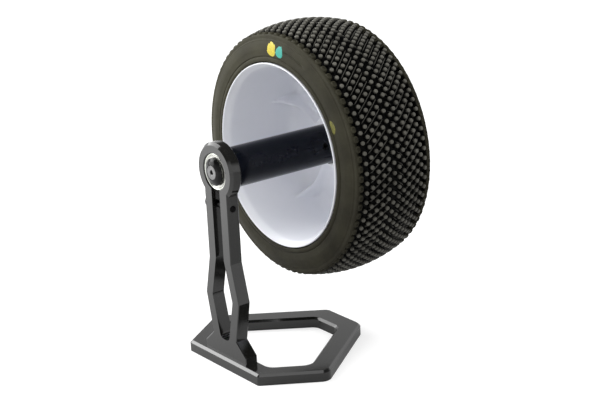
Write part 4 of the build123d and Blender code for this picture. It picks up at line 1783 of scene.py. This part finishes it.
    def row_offset(self, row: float) -> float:
        """Distance of a row of pins from the tyre's middle."""
        return (row - (self.row_count - 1) / 2) * self.row_spacing

    def squared(self, value: float) -> float:
        """Make a circle's sine or cosine squarer, for the teeth."""
        return math.copysign(abs(value) ** self.tooth_squareness, value)

    def tooth_mesh(self, middle: float, turn: float, points: list[Vector], faces: list[Face]) -> None:
        """Add one tooth of an edge row, which stands on the shoulder flush with the sidewall.

        Args:
            middle: Station of the tooth's middle.
            turn: Its angle round the axle, in degrees.
            points: The tread's vertices, which grow.
            faces: The tread's faces, which grow.
        """
        faces.extend(stacked_faces(len(points), len(self.teeth), self.tooth_sides))
        for radius, half_round, half_along in self.teeth:
            for side in range(self.tooth_sides):
                swing = 2 * math.pi * side / self.tooth_sides
                around = self.squared(math.cos(swing)) * half_round
                along = self.squared(math.sin(swing)) * half_along
                points.append(place(radius, middle + along, turn + math.degrees(around / radius)))

    def tread(self) -> bpy.types.Object:
        """Build all the rows of pins.

        Returns:
            The tread in one piece.
        """
        points: list[Vector] = []
        faces: list[Face] = []
        pitch = FULL_TURN / self.pins_in_row
        for row in range(1, self.row_count - 1):
            for pin in range(self.pins_in_row):
                self.pin_mesh(row, pin * pitch + pitch / 2 * (row % 2), points, faces)
        return make_piece("tread_pin_rows", points, faces)

    def shoulder_teeth(self) -> bpy.types.Object:
        """Build the notched edge rows, which are one with the sidewalls.

        Returns:
            Both rows in one piece.
        """
        points: list[Vector] = []
        faces: list[Face] = []
        for angle in even_angles(self.pins_in_row):
            for middle in (self.tooth_middle, 2 * self.middle - self.tooth_middle):
                self.tooth_mesh(middle, angle, points, faces)
        return make_piece("shoulder_teeth", points, faces)

    def low_ribs(self) -> bpy.types.Object:
        """Build the thin low ribs that run between the pins both ways.

        Returns:
            The ribs in one piece.
        """
        points: list[Vector] = []
        faces: list[Face] = []
        pitch = FULL_TURN / self.pins_in_row
        for start, end, slant in self.rib_rows:
            for pin in range(self.pins_in_row):
                self.rib_strip(start, end, slant, pin * pitch, points, faces)
        return make_piece("tread_low_ribs", points, faces)

    def rib_strip(
        self,
        start: float,
        end: float,
        slant: int,
        turn: float,
        points: list[Vector],
        faces: list[Face],
    ) -> None:
        """Add one low rib to the tread.

        Args:
            start: Row where it starts.
            end: Row where it ends.
            slant: 1 or -1 for the two directions.
            turn: Angle of the pin that it starts beside, in degrees.
            points: The ribs' vertices, which grow.
            faces: The ribs' faces, which grow.
        """
        half_pitch = FULL_TURN / self.pins_in_row / 2
        half_turn = math.degrees(self.rib_width / 2 / self.outer_radius)
        foot = self.pin_height + self.rib_foot_sink
        steps = int((end - start) * 2)
        first = len(points)
        for step in range(steps + 1):
            row = start + step / 2
            crest = self.pin_height - (self.rib_height if 0 < step < steps else self.rib_end_height)
            angle = turn + half_pitch + half_pitch * slant * row
            for sideways, depth in (
                (-self.rib_foot_spread, foot),
                (-self.rib_crest_spread, crest),
                (self.rib_crest_spread, crest),
                (self.rib_foot_spread, foot),
            ):
                radius, station = self.crown_point(self.row_offset(row), depth)
                points.append(place(radius, station, angle + half_turn * sideways))
        for step in range(steps):
            low = first + step * 4
            for edge in range(3):
                faces.append((low + edge, low + edge + 1, low + edge + 5, low + edge + 4))
        faces.append((first, first + 1, first + 2, first + 3))
        last = first + steps * 4
        faces.append((last + 3, last + 2, last + 1, last))

    def wall_station(self, radius: float) -> float:
        """Station of the front sidewall at a radius."""
        wall = three_point_arc(*self.sidewall, 60)
        return min(wall, key=lambda point: abs(point[0] - radius))[1]

    def painted(self, mark: PaintMark) -> bpy.types.Object:
        """Paint a mark on the front sidewall.

        Args:
            mark: Its place and size.

        Returns:
            The paint's thin film, a little uneven in outline.
        """
        points = [place(mark.radius, self.wall_station(mark.radius) - self.paint_lift, mark.angle)]
        for ring in range(1, self.paint_rings + 1):
            lift = self.paint_lift if ring < self.paint_rings else -self.paint_edge_sink
            for side in range(self.paint_sides):
                swing = 2 * math.pi * side / self.paint_sides
                uneven = 1 + self.paint_unevenness * math.sin(3 * swing + mark.angle)
                out = mark.half_out * uneven * ring / self.paint_rings * math.cos(swing)
                sideways = mark.half_round * uneven * ring / self.paint_rings * math.sin(swing)
                turn = mark.angle + math.degrees(sideways / mark.radius)
                radius = mark.radius + out
                points.append(place(radius, self.wall_station(radius) - lift, turn))
        faces: list[Face] = []
        for side in range(self.paint_sides):
            after = (side + 1) % self.paint_sides
            faces.append((0, 1 + side, 1 + after))
            for ring in range(self.paint_rings - 1):
                low = 1 + ring * self.paint_sides
                high = low + self.paint_sides
                faces.append((low + side, high + side, high + after, low + after))
        return make_piece(mark.name, points, faces)


@dataclass
class WheelNut:
    """The flanged nut behind the wheel."""

    front: float = 67.4
    back: float = 74.4
    flange_radius: float = 10.5
    flange_thickness: float = 1.5
    width: float = 17.0
    bore_radius: float = 6.05
    corner_cut: float = 0.15
    chamfer_start: float = 8.3
    chamfer_angle: float = 30.0
    least_chamfer: float = 0.05
    turns: int = 180

    def build(self) -> None:
        """Build the nut on the stud."""
        nut = turned_piece("flanged_wheel_nut", self.outline_at, even_angles(self.turns))
        settle(nut, Body.NUT, Slot.BLACK_ANODISED, TURNED_FINISH, "wheel_nut")
        logger.info("built the nut")

    def outline_at(self, angle: float) -> Outline:
        """Closed outline of the nut.

        Args:
            angle: Direction round the axle, in degrees.

        Returns:
            The outline from the bore's front outwards and round.
        """
        flat = hexagon_radius(angle, self.width, CORNER_UP, self.corner_cut)
        slope = math.tan(math.radians(self.chamfer_angle))
        chamfer = max(self.least_chamfer, (flat - self.chamfer_start) * slope)
        flange_back = self.front + self.flange_thickness
        return rounded(
            [
                (self.bore_radius, self.front, 0.2),
                (self.flange_radius - 0.4, self.front, 0.05),
                (self.flange_radius, self.front + 0.3, 0.1),
                (self.flange_radius, flange_back, 0.3),
                (flat, flange_back, 0.15),
                (flat, self.back - chamfer, 0.08),
                (min(self.chamfer_start, flat - self.least_chamfer), self.back, 0.1),
                (self.bore_radius + 0.6, self.back, 0.1),
                (self.bore_radius, self.back - 0.6, 0.1),
            ],
            steps=3,
        )


@dataclass(frozen=True)
class Lamp:
    """A square soft lamp: its place and width in metres, and its power in watts."""

    name: str
    position: Place
    size: float
    power: float


LAMPS = (
    Lamp("key softbox", (-0.532, -0.187, 0.470), 0.52, 3.3),
    Lamp("front softbox", (-0.684, -0.510, 0.295), 0.45, 2.1),
    Lamp("top softbox", (0.30, -0.15, 1.15), 0.80, 3.0),
)


@dataclass
class Studio:
    """The pale floor, the soft lamps, the plain world and the camera."""

    target: Place = (28.41, 20.2, 77.99)
    distance: float = 643.52
    azimuth: float = 53.39
    elevation: float = 17.94
    roll: float = -2.76
    focal_pixels: float = 1541.21
    picture_width: float = 600.0
    sensor_width: float = 36.0
    clip_range: Point = (0.01, 20.0)
    lamp_aim: Place = (0.0, 0.03, 0.07)
    floor_half: float = 2.5
    floor_grey: float = 0.50
    floor_glow_seen: float = 0.60
    floor_glow_mirrored: Point = (0.05, 0.95)
    floor_glow_reach: Point = (-0.07, 0.22)
    floor_glow_away: Place = (-0.8, -0.6, 0.0)
    world_level: float = 0.88
    ceiling_level: float = 0.12
    ceiling_rise: Point = (0.30, 0.50)

    def build(self) -> None:
        """Set up all that stands round the object."""
        self.add_floor()
        self.add_world()
        for lamp in LAMPS:
            self.add_lamp(lamp)
        self.add_camera()
        bpy.context.scene.view_settings.view_transform = "Standard"

    def add_floor(self) -> None:
        """Lay the floor: pale where it is seen, and brightest in mirrors away from the object."""
        half = self.floor_half
        mesh = bpy.data.meshes.new("floor")
        corners = [(-half, -half, 0), (half, -half, 0), (half, half, 0), (-half, half, 0)]
        mesh.from_pydata(corners, [], [(0, 1, 2, 3)])
        add_object("floor", mesh)
        material = bpy.data.materials.new("pale floor")
        material.use_nodes = True
        board = Wiring(material.node_tree)
        board.nodes.remove(board.nodes["Principled BSDF"])
        diffuse = board.add("ShaderNodeBsdfDiffuse", Color=(*[self.floor_grey] * 3, 1.0))
        slope = board.add("ShaderNodeVectorMath")
        slope.operation = "DOT_PRODUCT"
        board.feed(slope.inputs[0], board.add("ShaderNodeTexCoord").outputs["Object"])
        board.feed(slope.inputs[1], self.floor_glow_away)
        rays = board.add("ShaderNodeLightPath").outputs
        fade = board.spread(slope.outputs["Value"], *self.floor_glow_mirrored, *self.floor_glow_reach)
        mirrored = board.calculate("MULTIPLY", rays["Is Glossy Ray"], fade)
        strength = board.calculate("MULTIPLY_ADD", rays["Is Camera Ray"], self.floor_glow_seen, mirrored)
        glow = board.add("ShaderNodeEmission", Strength=strength)
        both = board.add("ShaderNodeAddShader")
        board.links.new(diffuse.outputs[0], both.inputs[0])
        board.links.new(glow.outputs[0], both.inputs[1])
        board.links.new(both.outputs[0], board.nodes["Material Output"].inputs["Surface"])
        mesh.materials.append(material)

    def add_world(self) -> None:
        """Make the world white where it is seen, with a dark ceiling in mirrors, and soft as a light."""
        world = bpy.data.worlds.new("studio")
        bpy.context.scene.world = world
        world.use_nodes = True
        board = Wiring(world.node_tree)
        background = board.nodes["Background"]
        board.feed(background.inputs["Color"], (1.0, 1.0, 1.0, 1.0))
        rays = board.add("ShaderNodeLightPath").outputs
        direction = board.add("ShaderNodeTexCoord").outputs["Generated"]
        height = board.add("ShaderNodeSeparateXYZ", Vector=direction).outputs["Z"]
        ceiling = board.spread(height, 1.0, self.ceiling_level, *self.ceiling_rise)
        mirrored = board.spread(rays["Is Glossy Ray"], self.world_level, ceiling, 0.0, 1.0)
        seen = board.calculate("MAXIMUM", rays["Is Camera Ray"], rays["Is Transmission Ray"])
        board.feed(background.inputs["Strength"], board.spread(seen, mirrored, 1.0, 0.0, 1.0))

    def add_lamp(self, lamp: Lamp) -> None:
        """Hang a lamp that faces the object.

        Args:
            lamp: The lamp.
        """
        data = bpy.data.lights.new(lamp.name, "AREA")
        data.shape = "SQUARE"
        data.size = lamp.size
        data.energy = lamp.power
        hung = add_object(lamp.name, data)
        hung.location = lamp.position
        aim = Vector(self.lamp_aim) - Vector(lamp.position)
        hung.rotation_euler = aim.to_track_quat("-Z", "Y").to_euler()

    def add_camera(self) -> None:
        """Place the camera as it was fitted to the photograph."""
        side = math.radians(self.azimuth)
        rise = math.radians(self.elevation)
        back = Vector((math.sin(side) * math.cos(rise), -math.cos(side) * math.cos(rise), math.sin(rise)))
        right = Vector((math.cos(side), math.sin(side), 0.0))
        up = back.cross(right)
        roll = math.radians(self.roll)
        rolled_right = right * math.cos(roll) + up * math.sin(roll)
        rolled_up = up * math.cos(roll) - right * math.sin(roll)
        data = bpy.data.cameras.new("photograph view")
        data.sensor_width = self.sensor_width
        data.lens = self.focal_pixels * self.sensor_width / self.picture_width
        data.clip_start, data.clip_end = self.clip_range
        camera = add_object("photograph view", data)
        turn = Matrix((rolled_right, rolled_up, back)).transposed().to_4x4()
        position = (Vector(self.target) + back * self.distance) * MILLIMETRE
        camera.matrix_world = Matrix.Translation(position) @ turn
        bpy.context.scene.camera = camera


def main() -> None:
    """Build the scene, updating the view layer before and after."""
    logging.basicConfig(level=logging.INFO, format="%(message)s")
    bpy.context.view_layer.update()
    Studio().build()
    Stand().build()
    BallBearing().build()
    Spindle().build()
    Wheel().build()
    Tyre().build()
    WheelNut().build()
    bpy.context.view_layer.update()


if __name__ == "__main__":
    main()
